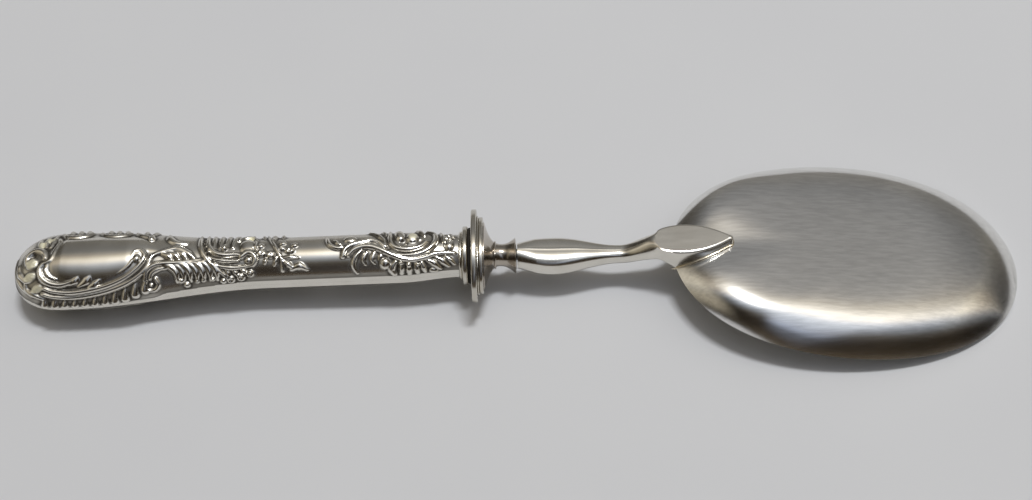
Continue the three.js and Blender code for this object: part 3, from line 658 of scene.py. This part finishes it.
# The plain cartouche swells between the border scrolls
def cartouche(r):
    x = r.x[:, 0]
    lower = np.interp(x, [9, 12, 16, 21, 26, 31, 34, 35.5, 36], [0, 6.2, 8.4, 9.2, 8.4, 6.6, 3.8, 1.6, 0])
    upper = np.interp(x, [10, 12.6, 14.5, 24, 34, 36.5, 40], [0, 3.4, 6.0, 6.8, 6.2, 3.6, 0])
    centre = (upper - lower) / 2
    half = np.maximum((upper + lower) / 2, 1e-6)
    across = (r.arc - centre[:, None]) / half[:, None]
    return np.clip(1 - across ** 2, 0, 1) ** 0.8 * np.clip(half / 6.5, 0, 1)[:, None]


# Where the fringe of teeth reaches over the band, and how dark each point is: tarnish in the hollows and on
# the flat ground between the ornament, painted shade in the crease and on the far flank, and darker towards
# the nose. Shares are 0 to 1, lengths mm.
chasing = {
    "toothedFrom": 5,
    "toothedTo": 41,
    "toothedFade": 4,
    "toothedReach": 0.85,
    "noseFade": 1.5,
    "edgeRoundness": 0.7,
    "recessSpread": 14,
    "recessDepth": 0.26,
    "busyHeight": 0.05,
    "busySpread": 16,
    "busyGain": 1.6,
    "groundDepth": 0.12,
    "groundShare": 0.9,
    "seamClear": 0.1,
    "creaseShadeStart": 1.3,
    "creaseShadeWidth": 1.5,
    "creaseShadeHeight": 0.2,
    "creaseShadeShare": 0.75,
    "noseReach": 3.5,
    "noseShare": 0.8,
    "flankShadeFrom": 0.34,
    "flankShadeFade": 0.16,
    "flankShadeShare": 0.3,
}
shells = {
    "frontShellChased": {"node": "handle_front_shell", "side": 1, "fade": 0.4, "margin": 0},
    "backShellChased": {"node": "handle_back_shell", "side": -1, "fade": 1.6, "margin": 3.2},
}


# Heights over a half shell, how dark each point is (tarnish, plus painted shade in the crease and on the far
# flank) and how much frost it has. The front has no plain margin.
def shellRelief(x, arc, half, fade, margin):
    c = chasing
    r = Relief(x, arc)
    buttOrnament(r)
    middleOrnament(r)
    mouthOrnament(r)
    raised = softened(r.height, 1)
    field = np.maximum(raised, handle["cartoucheRise"] * softened(cartouche(r), 3))
    field = np.where(raised < 0, field + raised, field)
    band = np.abs(arc).max(1, keepdims=True) - half
    toothed = easeInOut((x - c["toothedFrom"]) / c["toothedFade"]) * (arc < 0)
    toothed = (margin == 0) * easeInOut((c["toothedTo"] - x) / c["toothedFade"]) * toothed
    inside = half + c["toothedReach"] * toothed * band - np.abs(arc)
    edge = np.clip((inside - margin) / fade, 0, 1) ** c["edgeRoundness"] * np.clip(x / c["noseFade"], 0, 1)
    field = field * edge
    darkening = np.clip((softened(field, c["recessSpread"]) - field) / c["recessDepth"], 0, 1)
    busy = np.clip(softened(np.abs(raised) > c["busyHeight"], c["busySpread"]) * c["busyGain"], 0, 1)
    ground = c["groundShare"] * np.clip(1 - np.abs(field) / c["groundDepth"], 0, 1) * busy * edge
    # painted shade along the crease beside the seam band
    crease = c["creaseShadeShare"] * np.clip(c["creaseShadeStart"] - inside / c["creaseShadeWidth"], 0, 1)
    crease = crease * (inside > c["seamClear"]) * np.clip(1 - field / c["creaseShadeHeight"], 0, 1)
    # darker towards the nose
    nose = c["noseShare"] * np.clip(1 - x / c["noseReach"], 0, 1)
    # painted shade on the far flank, on the front shell only
    flankShade = np.clip((arc / np.maximum(half, tiny) - c["flankShadeFrom"]) / c["flankShadeFade"], 0, 1)
    flankShade = c["flankShadeShare"] * (margin == 0) * flankShade * (inside > c["seamClear"])
    return field, np.clip(darkening + ground + crease + nose + flankShade, 0, 1), r.pale


def halfShell(name, shell):
    side = shell["side"]
    columns, inside = handle["across"], handle["acrossInside"]
    turn = np.linspace(0, np.pi / 2, handle["noseStations"])
    nose = handle["noseLength"] * (1 - np.cos(turn) ** (2 / handle["noseFullness"]))
    body = np.linspace(handle["noseLength"], handle["length"], handle["stations"] - len(turn) + 1)[1:]
    x = np.concatenate([nose, body])
    grid, arc, half = shellGrid(x, columns, 0, side)
    height, darkening, pale = shellRelief(
        x[:, None] + 0 * arc, arc, half + 0 * arc, shell["fade"], shell["margin"])
    grid = grid + gridNormals(grid, side) * height[..., None]
    wall = handle["wall"]
    innerX = wall + (x - x[0]) * (handle["length"] - wall) / handle["length"]
    inner, _, _ = shellGrid(innerX, inside, wall, side)
    # each skin starts in a pole at the nose, the outer one is point 0 and the inner one point 1
    points = [grid[0, 0], inner[0, 0]]
    outerAt = np.arange(grid[1:].shape[0] * (columns + 1)).reshape(-1, columns + 1) + 2
    points.extend(grid[1:].reshape(-1, 3))
    innerAt = np.arange(inner[1:].shape[0] * (inside + 1)).reshape(-1, inside + 1) + len(points)
    points.extend(inner[1:].reshape(-1, 3))
    marks = [0.0, 1.0, *darkening[1:].reshape(-1), *[1.0] * innerAt.size]
    frosted = [0.0, 0.0, *pale[1:].reshape(-1), *[0.0] * innerAt.size]
    faces = []
    for at, pole, flip in ((outerAt, 0, 1), (innerAt, 1, -1)):
        faces += [(pole, a, b)[::flip] for a, b in zip(at[0, :-1], at[0, 1:])]
        quads = np.stack([at[:-1, :-1], at[1:, :-1], at[1:, 1:], at[:-1, 1:]], -1).reshape(-1, 4)
        faces += [tuple(q[::flip]) for q in quads]
    for column, innerColumn, flip in ((0, 0, 1), (columns, inside, -1)):
        outerEdge = [0, *outerAt[:, column]]
        innerEdge = [1, *innerAt[:, innerColumn]]
        for i in range(len(outerEdge) - 1):
            faces.append((outerEdge[i + 1], outerEdge[i], innerEdge[i], innerEdge[i + 1])[::flip])
    # the mouth: the fine outer edge is joined to the coarser inner one
    perStep = columns / inside
    k = 0
    for j in range(columns):
        while k < inside and (k + 1) * perStep <= j + perStep / 2:
            faces.append((outerAt[-1, j], innerAt[-1, k], innerAt[-1, k + 1]))
            k += 1
        faces.append((outerAt[-1, j], innerAt[-1, k], outerAt[-1, j + 1]))
    while k < inside:
        faces.append((outerAt[-1, columns], innerAt[-1, k], innerAt[-1, k + 1]))
        k += 1
    p = np.array(points)
    addPiece(name, p, turnedOut(p, faces), chasedSilver, shell["node"],
             sharpAngle=60, darkening=marks, frosted=frosted)


for name, shell in shells.items():
    halfShell(name, shell)
print("handle shells")


# Collars, turned on a lathe and filed oval
collars = {
    "facets": 160,
    "beadX": 115.55,
    "beadWidth": 0.9,
    "beadHalfWidth": 6.35,
    "beadHalfHeight": 6.1,
    "ringWidth": 1.35,
    "ringHalfWidth": 7.9,
    "ringHalfHeight": 6.95,
    "sleeveLength": 3.05,
    "sleeveWall": 0.7,
    "sleeveGap": 0.15,
    "edgeRound": 0.35,
    "trumpetX": 121.8,
    "trumpetLip": 0.25,
    "trumpetHalfWidth": 9.1,
    "trumpetHalfHeight": 7.3,
    "trumpetHollow": 2.9,
    "trumpetRings": 24,
    "neckX": 126.5,
    "neckRadius": 2.85,
    "spoolX": 124.5,
    "spoolGap": 0.05,
    "spoolBeadWidth": 0.5,
    "spoolBeadStep": 0.12,
    "spoolHollow": 1.9,
    "spoolEndX": 130.25,
    "spoolEndRadius": 3.3,
    "spoolEdgeRadius": 4.6,
    "spoolEdgeWidth": 0.35,
    "spoolEdgeRound": 0.15,
    "spoolLip": 0.2,
    "spoolSag": 0.55,
    "spoolRings": 34,
    "bore": 1.65,
}

# The two guard plates and the step ring between them: node, start, thickness, half width and half height
plates = {
    "largePlateFiled": ("large_guard_plate", 118.75, 1.4, 13.0, 9.5),
    "stepRingFiled": ("guard_step_ring", 120.2, 0.4, 11.0, 8.4),
    "smallPlateFiled": ("small_guard_plate", 120.65, 1.1, 10.7, 8.0),
}


def lathe(outline):
    turns = np.linspace(0, 2 * np.pi, collars["facets"], endpoint=False)
    rings = []
    for x, halfWidth, halfHeight, *sag in outline:
        z = stackZ - sum(sag)
        rings.append(np.stack([
            np.full_like(turns, x), halfWidth * np.cos(turns), z + halfHeight * np.sin(turns)], -1))
    return skinRings(rings, True)


def roundedEdge(start, end, halfWidth, halfHeight, corner, steps=6):
    corner = min(corner, (end - start) / 2)
    first, second = [], []
    for t in np.linspace(0, np.pi / 2, steps + 1):
        along, inset = corner * (1 - np.cos(t)), corner * (1 - np.sin(t))
        first.append((start + along, halfWidth - inset, halfHeight - inset))
        second.insert(0, (end - along, halfWidth - inset, halfHeight - inset))
    return first + second


def plate(name, node, start, thickness, halfWidth, halfHeight):
    bore = collars["bore"]
    edge = roundedEdge(start, start + thickness, halfWidth, halfHeight, collars["edgeRound"])
    points, faces = lathe([(start, bore, bore), *edge, (start + thickness, bore, bore)])
    addPiece(name, points, faces, turnedSilver, node)


def ferrule():
    c = collars
    bead, ring = c["beadX"], c["beadX"] + c["beadWidth"]
    mouth = (handle["mouthHalfWidth"], handle["mouthHalfThickness"])
    outer = [size - handle["wall"] - c["sleeveGap"] for size in mouth]
    inner = [size - c["sleeveWall"] for size in outer]
    start, end = bead - c["sleeveLength"], ring + c["ringWidth"]
    points, faces = lathe([
        (start, *inner), (start, *outer), (bead, *outer),
        *roundedEdge(bead, ring, c["beadHalfWidth"], c["beadHalfHeight"], c["beadWidth"] / 2),
        *roundedEdge(ring, end, c["ringHalfWidth"], c["ringHalfHeight"], c["ringWidth"] / 3), (end, *inner)])
    addPiece("ferruleTurned", points, faces, turnedSilver, "handle_ferrule")


# The neck is one hollow sweep, from the small plate down to the neck and out to the knife edge
def neckSweep(x):
    c = collars
    neck = c["neckRadius"]
    if x < c["neckX"]:
        start = c["trumpetX"] + c["trumpetLip"]
        rise = min((c["neckX"] - x) / (c["neckX"] - start), 1) ** c["trumpetHollow"]
        return neck + (c["trumpetHalfWidth"] - neck) * rise, neck + (c["trumpetHalfHeight"] - neck) * rise
    flare = ((x - c["neckX"]) / (c["spoolEndX"] - c["spoolEdgeWidth"] - c["neckX"])) ** c["spoolHollow"]
    radius = neck + (c["spoolEdgeRadius"] - neck) * flare
    return radius, radius


def trumpet():
    c = collars
    end = c["spoolX"] - c["spoolGap"]
    along = np.linspace(c["trumpetX"] + c["trumpetLip"], end, c["trumpetRings"])
    sweep = [(x, *neckSweep(x)) for x in along]
    points, faces = lathe([
        (c["trumpetX"], c["bore"], c["bore"]), (c["trumpetX"], c["trumpetHalfWidth"], c["trumpetHalfHeight"]),
        *sweep, (end, c["bore"], c["bore"])])
    addPiece("trumpetTurned", points, faces, neckSilver, "trumpet_collar")


# The spool's end sags a little, towards the stem's lower axis
def spool():
    c = collars
    beadEnd, end = c["spoolX"] + c["spoolBeadWidth"], c["spoolEndX"]
    hollow = []
    for x in np.linspace(beadEnd, end - c["spoolEdgeWidth"], c["spoolRings"]):
        sag = c["spoolSag"] * max(x - c["neckX"] + 1, 0) / (end - c["neckX"] + 1)
        hollow.append((x, *neckSweep(x), sag))
    bead = neckSweep(c["spoolX"])[0] + c["spoolBeadStep"]
    edge = c["spoolEdgeRadius"] - c["spoolEdgeRound"]
    points, faces = lathe([
        (c["spoolX"], c["bore"], c["bore"]),
        *roundedEdge(c["spoolX"], beadEnd, bead, bead, c["spoolBeadWidth"] / 2),
        *hollow, (end - c["spoolLip"], edge, edge, c["spoolSag"]),
        (end, c["spoolEndRadius"], c["spoolEndRadius"], c["spoolSag"]), (end, c["bore"], c["bore"])])
    addPiece("spoolTurned", points, faces, neckSilver, "neck_spool")


ferrule()
for name, sizes in plates.items():
    plate(name, *sizes)
trumpet()
spool()
print("collars")


# Bowl: one raised shell with a flat ground rim, worn flat where the tip rubs
bowlSizes = {
    "length": 91.4,
    "heelX": 170.6,
    "halfWidth": 31.4,
    "egg": 0.014,
    "squareness": 0.042,
    "depth": 6.5,
    "wall": 1.0,
    "rimWidth": 1.1,
    "heelRise": 11.1,
    "tipWear": 0.2,
    "tipFullness": 6.0,
    "sideFullness": 6.8,
    "cornerFullness": 12.5,
    "cornerAt": 0.75,
    "cornerSpread": 0.25,
    "heelFullness": 5.0,
    "heelSharpness": 14,
    "spokes": 200,
    "rings": 64,
}


def bowlFullness(turn):
    b = bowlSizes
    forward = np.cos(turn)
    front = lerp(b["sideFullness"], b["tipFullness"], forward ** 2)
    corner = np.exp(-((-forward - b["cornerAt"]) / b["cornerSpread"]) ** 2)
    back = lerp(b["sideFullness"], b["cornerFullness"], corner)
    back = lerp(back, b["heelFullness"], forward ** b["heelSharpness"])
    return np.where(forward > 0, front, back)


def bowlPoint(rho, turn, inset, sink):
    b = bowlSizes
    shape = 1 + b["egg"] * np.cos(turn) + b["squareness"] * np.cos(2 * turn)
    x = b["heelX"] + b["length"] / 2 + rho * (b["length"] / 2 - inset) * np.cos(turn)
    y = rho * (b["halfWidth"] * shape - inset) * np.sin(turn)
    rim = np.maximum(b["heelRise"] / b["length"] * (overall - x) - b["tipWear"], 0)
    return np.stack([x, y, rim + (b["depth"] - sink) * (1 - rho ** bowlFullness(turn))], -1)


def bowl():
    b = bowlSizes
    turns = np.linspace(0, 2 * np.pi, b["spokes"], endpoint=False)
    steps = np.sin(np.linspace(0, np.pi / 2, b["rings"] + 1))[1:]
    back = [bowlPoint(rho, turns, 0, 0) for rho in steps]
    inside = [bowlPoint(rho, turns, b["rimWidth"], b["wall"]) for rho in steps[::-1]]
    points, faces = skinRings(back + inside, False)
    addPiece("bowlRaised", points, faces, wipedSilver, "bowl", sharpAngle=30)


bowl()
print("bowl")


# Stem, forged in one: round start, baluster belly, slim taper, then the leaf-shaped pad with its flat facet
stemSizes = {
    "startX": 130.5,
    "startRadius": 3.25,
    "bellyLength": 9.2,
    "bellyHalfWidth": 4.7,
    "bellyHalfHeight": 3.5,
    "taperLength": 17.3,
    "taperRadius": 2.1,
    "startDrop": 0.65,
    "bellyDrop": 1.3,
    "riseDrop": 1.0,
    "riseLength": 9.2,
    "facetLength": 18.7,
    "facetHalfWidth": 3.85,
    "facetWidestAt": 0.37,
    "facetBluntness": 1.7,
    "facetTipHalfWidth": 0.2,
    "facetZ": 16.75,
    "facetTilt": 0.019,
    "facetOnset": 6,
    "padFlare": 0.22,
    "padCrisp": 0.12,
    "padAboveRim": 0.3,
    "padSole": 0.15,
    "padSettles": 4.4,
    "padStartHalfWidth": 3.2,
    "padStartAboveRim": 1.85,
    "bevel": 0.4,
    "bevelDrop": 0.09,
    "roundness": 1.0,
    "bellySquareness": 0.66,
    "endDrop": 1.2,
    "endReach": 0.8,
    "endNarrows": {"halfWidth": 0.55, "flat": 0.8, "bevel": 0.7},
    "crispLead": 0.8,
    "facets": 96,
    "bellyRings": 25,
    "taperRings": 37,
    "riseRings": 29,
    "padRings": 57,
}
heelRimZ = bowlSizes["heelRise"] - bowlSizes["tipWear"]
facetX = sum(stemSizes[key] for key in ("startX", "bellyLength", "taperLength", "riseLength"))


# Half width of the facet, at a share s of its length
def leafHalfWidth(s):
    st = stemSizes
    if s < st["facetWidestAt"]:
        out = math.sqrt(1 - (1 - s / st["facetWidestAt"]) ** 2)
        return lerp(st["facetBluntness"], st["facetHalfWidth"], out)
    back = (s - st["facetWidestAt"]) / (1 - st["facetWidestAt"])
    return max(st["facetHalfWidth"] * (1 - back ** 2), st["facetTipHalfWidth"])


# One ring of the stem at x: half goes from the sole round the belly to the flat top, the rest mirrors it
def stemRing(x, v):
    quarter = stemSizes["facets"] // 4
    t = np.linspace(0, 1, quarter + 1)
    across = lerp(np.cos(np.pi * t / 2) ** v["power"], 1 - t, v["crisp"])
    up = lerp(np.sin(np.pi * t / 2) ** v["power"], t, v["crisp"])
    crown = v["flat"] + v["bevel"]
    shoulder = v["topZ"] - v["bevel"] * stemSizes["bevelDrop"] / stemSizes["bevel"]
    sideY = crown + (v["halfWidth"] - crown) * across
    sideZ = v["bellyZ"] + (shoulder - v["bellyZ"]) * up
    side = np.vstack([np.stack([sideY, sideZ], -1), [[v["flat"], v["topZ"]]]])
    a = np.pi * t[1:-1] / 2
    underY = v["halfWidth"] * np.cos(a) ** v["power"]
    underZ = v["bellyZ"] - (v["bellyZ"] - v["bottomZ"]) * np.sin(a) ** v["power"]
    right = np.vstack([[[0, v["bottomZ"]]], np.stack([underY, underZ], -1)[::-1], side])
    ring = np.vstack([right, [[0, v["topZ"]]], right[1:][::-1] * [-1, 1]])
    return np.column_stack([np.full(len(ring), x), ring])


def ovalSection(halfWidth, halfHeight, z, power):
    return {"flat": 0.02, "bevel": 0.01, "topZ": z + halfHeight, "bellyZ": z, "bottomZ": z - halfHeight,
            "halfWidth": halfWidth, "crisp": 0.0, "power": power}


def padSection(s):
    st = stemSizes
    flat = leafHalfWidth(s)
    topZ = st["facetZ"] + st["facetTilt"] * st["facetLength"] * s
    bellyZ = heelRimZ + st["padAboveRim"]
    return {"flat": flat, "bevel": st["bevel"], "topZ": topZ, "bellyZ": bellyZ,
            "bottomZ": bellyZ - st["padSole"], "halfWidth": flat + st["padFlare"] * (topZ - bellyZ),
            "crisp": st["padCrisp"], "power": st["roundness"]}


# How far the rise has settled into the pad's own section
def padSettled(s):
    return min(s * stemSizes["facetLength"] / stemSizes["padSettles"], 1)


def blended(a, b, t):
    return {key: lerp(a[key], b[key], t) for key in a}


def stem():
    st = stemSizes
    bellyX = st["startX"] + st["bellyLength"]
    taperX = bellyX + st["taperLength"]

    def axis(x):
        fall = float(easeInOut((x - st["startX"]) / st["bellyLength"]))
        back = float(easeInOut((x - bellyX) / st["bellyLength"]))
        return stackZ - lerp(lerp(st["startDrop"], st["bellyDrop"], fall), st["riseDrop"], back)

    rings = []
    for t in np.linspace(0, 1, st["bellyRings"]):
        out = math.sin(math.pi * t / 2)
        x = st["startX"] + st["bellyLength"] * t
        sizes = [lerp(st["startRadius"], st[key], out) for key in ("bellyHalfWidth", "bellyHalfHeight")]
        power = lerp(st["roundness"], st["bellySquareness"], min(2 * t, 1))
        rings.append(stemRing(x, ovalSection(*sizes, axis(x), power)))
    for t in np.linspace(0, 1, st["taperRings"])[1:]:
        x = bellyX + st["taperLength"] * t
        thin = float(easeInOut(t))
        sizes = [lerp(st[key], st["taperRadius"], thin) for key in ("bellyHalfWidth", "bellyHalfHeight")]
        rings.append(stemRing(x, ovalSection(*sizes, axis(x), st["bellySquareness"])))
    start = ovalSection(st["taperRadius"], st["taperRadius"], axis(taperX), st["bellySquareness"])
    blunt = padSection(0)
    blunt["halfWidth"] = st["padStartHalfWidth"]
    blunt["bellyZ"] = heelRimZ + st["padStartAboveRim"]
    for t in np.linspace(0, 1, st["riseRings"])[1:]:
        section = blended(start, blunt, float(easeInOut(t)))
        section["flat"] = lerp(start["flat"], blunt["flat"], t ** st["facetOnset"])
        section["bevel"] = blunt["bevel"] * t ** st["facetOnset"]
        rings.append(stemRing(taperX + st["riseLength"] * t, section))
    for s in np.linspace(0, 1, st["padRings"])[1:]:
        pad = padSection(s)
        section = {**blended(blunt, pad, padSettled(s)), "topZ": pad["topZ"], "flat": pad["flat"]}
        rings.append(stemRing(facetX + st["facetLength"] * s, section))
    # the end rounds over and narrows
    for t in (0.25, 0.5, 0.75, 1):
        end = padSection(1)
        fall = 1 - math.cos(math.pi * t / 2)
        end["topZ"] -= st["endDrop"] * fall
        for key, share in (("halfWidth", fall), ("flat", t), ("bevel", t)):
            end[key] *= 1 - st["endNarrows"][key] * share
        rings.append(stemRing(facetX + st["facetLength"] + st["endReach"] * math.sin(math.pi * t / 2), end))
    points, faces = skinRings([list(r) for r in rings], False)
    piece = addPiece(
        "stemForged", points, faces, forgedSilver, "stem", sharpAngle=28)
    # the facet keeps a crisp outline: both sides of its bevel are sharp edges
    count = len(rings[0])
    corner = st["facets"] // 4 * 2
    crispX = facetX - st["crispLead"]
    for edge in piece.data.edges:
        a, b = sorted(edge.vertices)
        if b - a == count and a % count in (corner + 1, corner + 3) and points[a][0] > crispX:
            edge.use_edge_sharp = True


stem()


# Height of the bowl's back over a point of the table
def bowlTop(x, y):
    b = bowlSizes
    turn = math.pi
    for _ in range(8):
        shape = 1 + b["egg"] * math.cos(turn) + b["squareness"] * math.cos(2 * turn)
        along, across = (x - b["heelX"]) / (b["length"] / 2) - 1, y / (b["halfWidth"] * shape)
        turn = math.atan2(across, along)
    return float(bowlPoint(np.array(math.hypot(along, across)), np.array(turn), 0, 0)[2])


# Silver solder: a bead that runs round the foot of the pad and thins out at both ends
solder = {
    "from": 0.2,
    "radius": 0.36,
    "outward": 0.08,
    "lift": 0.02,
    "alongSteps": 91,
    "tipSteps": 17,
    "tipMargin": 0.2,
    "fadeSteps": 10,
    "endShare": 0.1,
    "sides": 20,
}


# Where the pad's side meets the bowl, found in a few steps because the bowl's height depends on it
def padFoot(s):
    pad = padSection(s)
    x = facetX + stemSizes["facetLength"] * s
    crown = pad["flat"] + pad["bevel"]
    belly = lerp(stemSizes["padStartHalfWidth"], pad["halfWidth"], padSettled(s))
    wide = belly
    for _ in range(6):
        up = (bowlTop(x, wide) - pad["bellyZ"]) / (pad["topZ"] - pad["bellyZ"])
        wide = crown + (belly - crown) * math.sqrt(max(1 - min(max(up, 0), 1) ** 2, 0))
    return x, wide + solder["outward"]


def solderFillet():
    foot = [padFoot(s) for s in np.linspace(solder["from"], 1, solder["alongSteps"])]
    tipX, tipWidth = foot[-1]
    turns = np.linspace(solder["tipMargin"], math.pi - solder["tipMargin"], solder["tipSteps"])
    tip = [(tipX + stemSizes["endReach"] * math.sin(a), tipWidth * math.cos(a)) for a in turns]
    line = foot + tip + [(x, -y) for x, y in reversed(foot)]
    path = np.array([(x, y, bowlTop(x, y) + solder["lift"]) for x, y in line])
    along = np.gradient(path, axis=0)
    along /= np.linalg.norm(along, axis=1)[:, None]
    outward = np.cross(along, (0, 0, 1.0))
    outward /= np.linalg.norm(outward, axis=1)[:, None]
    upward = np.cross(outward, along)
    fromEnd = np.minimum(np.arange(len(path)), np.arange(len(path))[::-1])
    thick = solder["radius"] * np.clip(fromEnd / solder["fadeSteps"] + solder["endShare"], 0, 1)
    turns = np.linspace(0, 2 * np.pi, solder["sides"], endpoint=False)
    rings = [path[i] + thick[i] * (np.outer(np.cos(turns), outward[i]) + np.outer(np.sin(turns), upward[i]))
             for i in range(len(path))]
    points, faces = skinRings(rings, False)
    addPiece("solderFillet", points, faces, solderedSilver, None, sharpAngle=60)


solderFillet()
print("stem")

for node, material in (("handle_filler", cement), ("tang", tangSteel)):
    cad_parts[node].data.materials.clear()
    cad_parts[node].data.materials.append(material)
print("filler and tang")


# Floor: a wide white cloth
def floor():
    mesh = bpy.data.meshes.new("cloth")
    # metres
    half = 3.0
    corners = [(-half, -half, 0), (half, -half, 0), (half, half, 0), (-half, half, 0)]
    mesh.from_pydata(corners, [], [(0, 1, 2, 3)])
    mesh.materials.append(whiteCloth)
    cloth = bpy.data.objects.new("cloth", mesh)
    bpy.context.scene.collection.objects.link(cloth)


floor()


# Studio: soft light from the room's pale ceiling, a little behind, over dim walls. A source's brightness is
# one ramp by angle times one by side. The angle is 0 on the camera's side of the horizon, 90 straight up and
# 180 behind; the side goes from -1 on the left to 1. A stop is its place, its level and, unless white, its
# tint.
studio = {
    "room": {
        "byAngle": ((0, 0.1, "#ffe9c8"), (5, 0.08, "#ffe0b8"), (16, 0.045, "#ffe0b8"), (26, 0.03, "#ffe0b8"),
                    (37, 0.03, "#ffe0b8"), (47, 0.045, "#ffe9cc"), (57, 0.09, "#fff2e0"),
                    (66, 0.21, "#f4f7ff"), (76, 0.45, "#eaf2ff"), (84, 0.75, "#eef4ff"), (89, 1.0, "#fbfbff"),
                    (94, 1.35, "#fff9f0"), (101, 1.35, "#fff8ec"), (108, 0.85, "#fff6e6"),
                    (113, 0.6, "#fff4e2"), (118, 0.43, "#fff8ee"), (123, 0.33, "#fffdfa"), (128, 0.24),
                    (138, 0.22), (148, 0.215, "#fffdfa"), (160, 0.22, "#fffcf6"), (180, 0.22, "#fffaf2")),
        "bySide": ((-1, 0.1), (-0.72, 0.12, "#fff6e8"), (-0.5, 0.4, "#fff9f0"), (-0.3, 0.75), (-0.18, 1),
                   (0.36, 1.02), (0.42, 0.92), (0.48, 1.15), (0.56, 0.85), (0.7, 0.75),
                   (0.78, 0.85, "#fffcf4"), (0.86, 0.5, "#fff9f0"), (1, 0.2)),
        "lean": 0.0,
    },
    # a cool window, low on the camera's side, which leans about its pivot angle
    "window": {
        "byAngle": ((10, 0, "#d6e4ff"), (22, 0.1, "#d6e4ff"), (36, 0.25, "#d6e4ff"), (48, 0.72, "#d6e4ff"),
                    (60, 0.78, "#dfeaff"), (76, 0.5, "#eef4ff"), (92, 0)),
        "bySide": ((-0.02, 0), (0.12, 0.8), (0.18, 1), (0.22, 0.8), (0.3, 0)),
        "lean": -0.0065,
        "pivot": 50,
    },
    # a warm wall on the left
    "wall": {
        "byAngle": ((5, 0.05, "#fff2d8"), (25, 0.26, "#fff2d8"), (45, 0.36, "#fff2d8"), (80, 0.38, "#fff4dc"),
                    (112, 0.56, "#fff6e2"), (128, 0.18, "#fff6e2"), (150, 0)),
        "bySide": ((-1, 0.9), (-0.78, 1), (-0.6, 0.3), (-0.5, 0)),
        "lean": 0.0,
    },
    "peak": 1.4,
    "backdrop": "#c9c9ca",
    # a soft box almost overhead, in metres and degrees
    "lampSize": (0.36, 0.15),
    "lampDistance": 1.5,
    "lampAngle": 97.0,
    "lampAlong": 6.5,
    "lampYaw": 10.0,
    "lampWatts": 11.7,
    "lampColour": "#f7faff",
}


# A colour ramp over stops placed between start and start + span, with levels as shares of the peak
def litRamp(tree, place, stops, start, span):
    ramp = addNode(tree, "ShaderNodeValToRGB", None, {0: place})
    elements = ramp.node.color_ramp.elements
    elements.remove(elements[-1])
    for i, (at, level, *tint) in enumerate(stops):
        share = (at - start) / span
        stop = elements.new(share) if i else elements[0]
        stop.position = share
        colour = srgb(tint[0] if tint else "#ffffff")
        stop.color = (*[c * level / studio["peak"] for c in colour[:3]], 1)
    return ramp


def light():
    world = bpy.data.worlds.new("softRoom")
    bpy.context.scene.world = world
    world.use_nodes = True
    tree = world.node_tree
    tree.nodes.clear()
    toward = addNode(tree, "ShaderNodeTexCoord", output="Generated")
    x, y, z = addNode(tree, "ShaderNodeSeparateXYZ", None, {0: toward}).node.outputs
    near = addNode(tree, "ShaderNodeMath", {"operation": "MULTIPLY", 1: -1.0}, {0: y})
    angle = addNode(tree, "ShaderNodeMath", {"operation": "ARCTAN2"}, {0: z, 1: near})
    share = addNode(tree, "ShaderNodeMath", {"operation": "DIVIDE", 1: math.pi}, {0: angle})
    total = None
    for key in ("room", "window", "wall"):
        source = studio[key]
        over = litRamp(tree, share, source["byAngle"], 0, 180)
        offset = 0.5 - source["lean"] * source.get("pivot", 0) / 2
        sideways = addNode(tree, "ShaderNodeMath", {"operation": "MULTIPLY_ADD", 1: 0.5, 2: offset}, {0: x})
        leaning = addNode(
            tree, "ShaderNodeMath", {"operation": "MULTIPLY_ADD", 1: 90 * source["lean"]},
            {0: share, 2: sideways})
        side = litRamp(tree, leaning, source["bySide"], -1, 2)
        both = addNode(tree, "ShaderNodeVectorMath", {"operation": "MULTIPLY"}, {0: over, 1: side})
        if total:
            both = addNode(tree, "ShaderNodeVectorMath", {"operation": "ADD"}, {0: total, 1: both})
        total = both
    # seen directly, the room is plain and pale
    seen = addNode(tree, "ShaderNodeLightPath", output="Is Camera Ray")
    strength = studio["peak"] ** 2
    pale = (*[c / strength for c in srgb(studio["backdrop"])[:3]], 1)
    shown = addNode(tree, "ShaderNodeMix", {"data_type": "RGBA", 7: pale}, {0: seen, 6: total}, 2)
    background = addNode(tree, "ShaderNodeBackground", {"Strength": strength}, {"Color": shown})
    addNode(tree, "ShaderNodeOutputWorld", None, {"Surface": background})


def lamp():
    data = bpy.data.lights.new("softbox", "AREA")
    data.shape = "RECTANGLE"
    data.size, data.size_y = studio["lampSize"]
    data.energy = studio["lampWatts"]
    data.color = srgb(studio["lampColour"])[:3]
    box = bpy.data.objects.new("softbox", data)
    bpy.context.scene.collection.objects.link(box)
    lean = math.radians(studio["lampAngle"])
    tilt = math.radians(studio["lampAlong"])
    toward = Vector((math.sin(tilt), -math.cos(lean) * math.cos(tilt), math.sin(lean) * math.cos(tilt)))
    yaw = math.radians(studio["lampYaw"])
    side = Vector((math.cos(yaw), math.sin(yaw), 0))
    across = (side - toward * toward.dot(side)).normalized()
    place = Matrix((across, toward.cross(across), toward)).transposed().to_4x4()
    place.translation = toward * studio["lampDistance"]
    box.matrix_world = place


light()
lamp()
bpy.context.scene.view_settings.view_transform = "Standard"
print("studio")
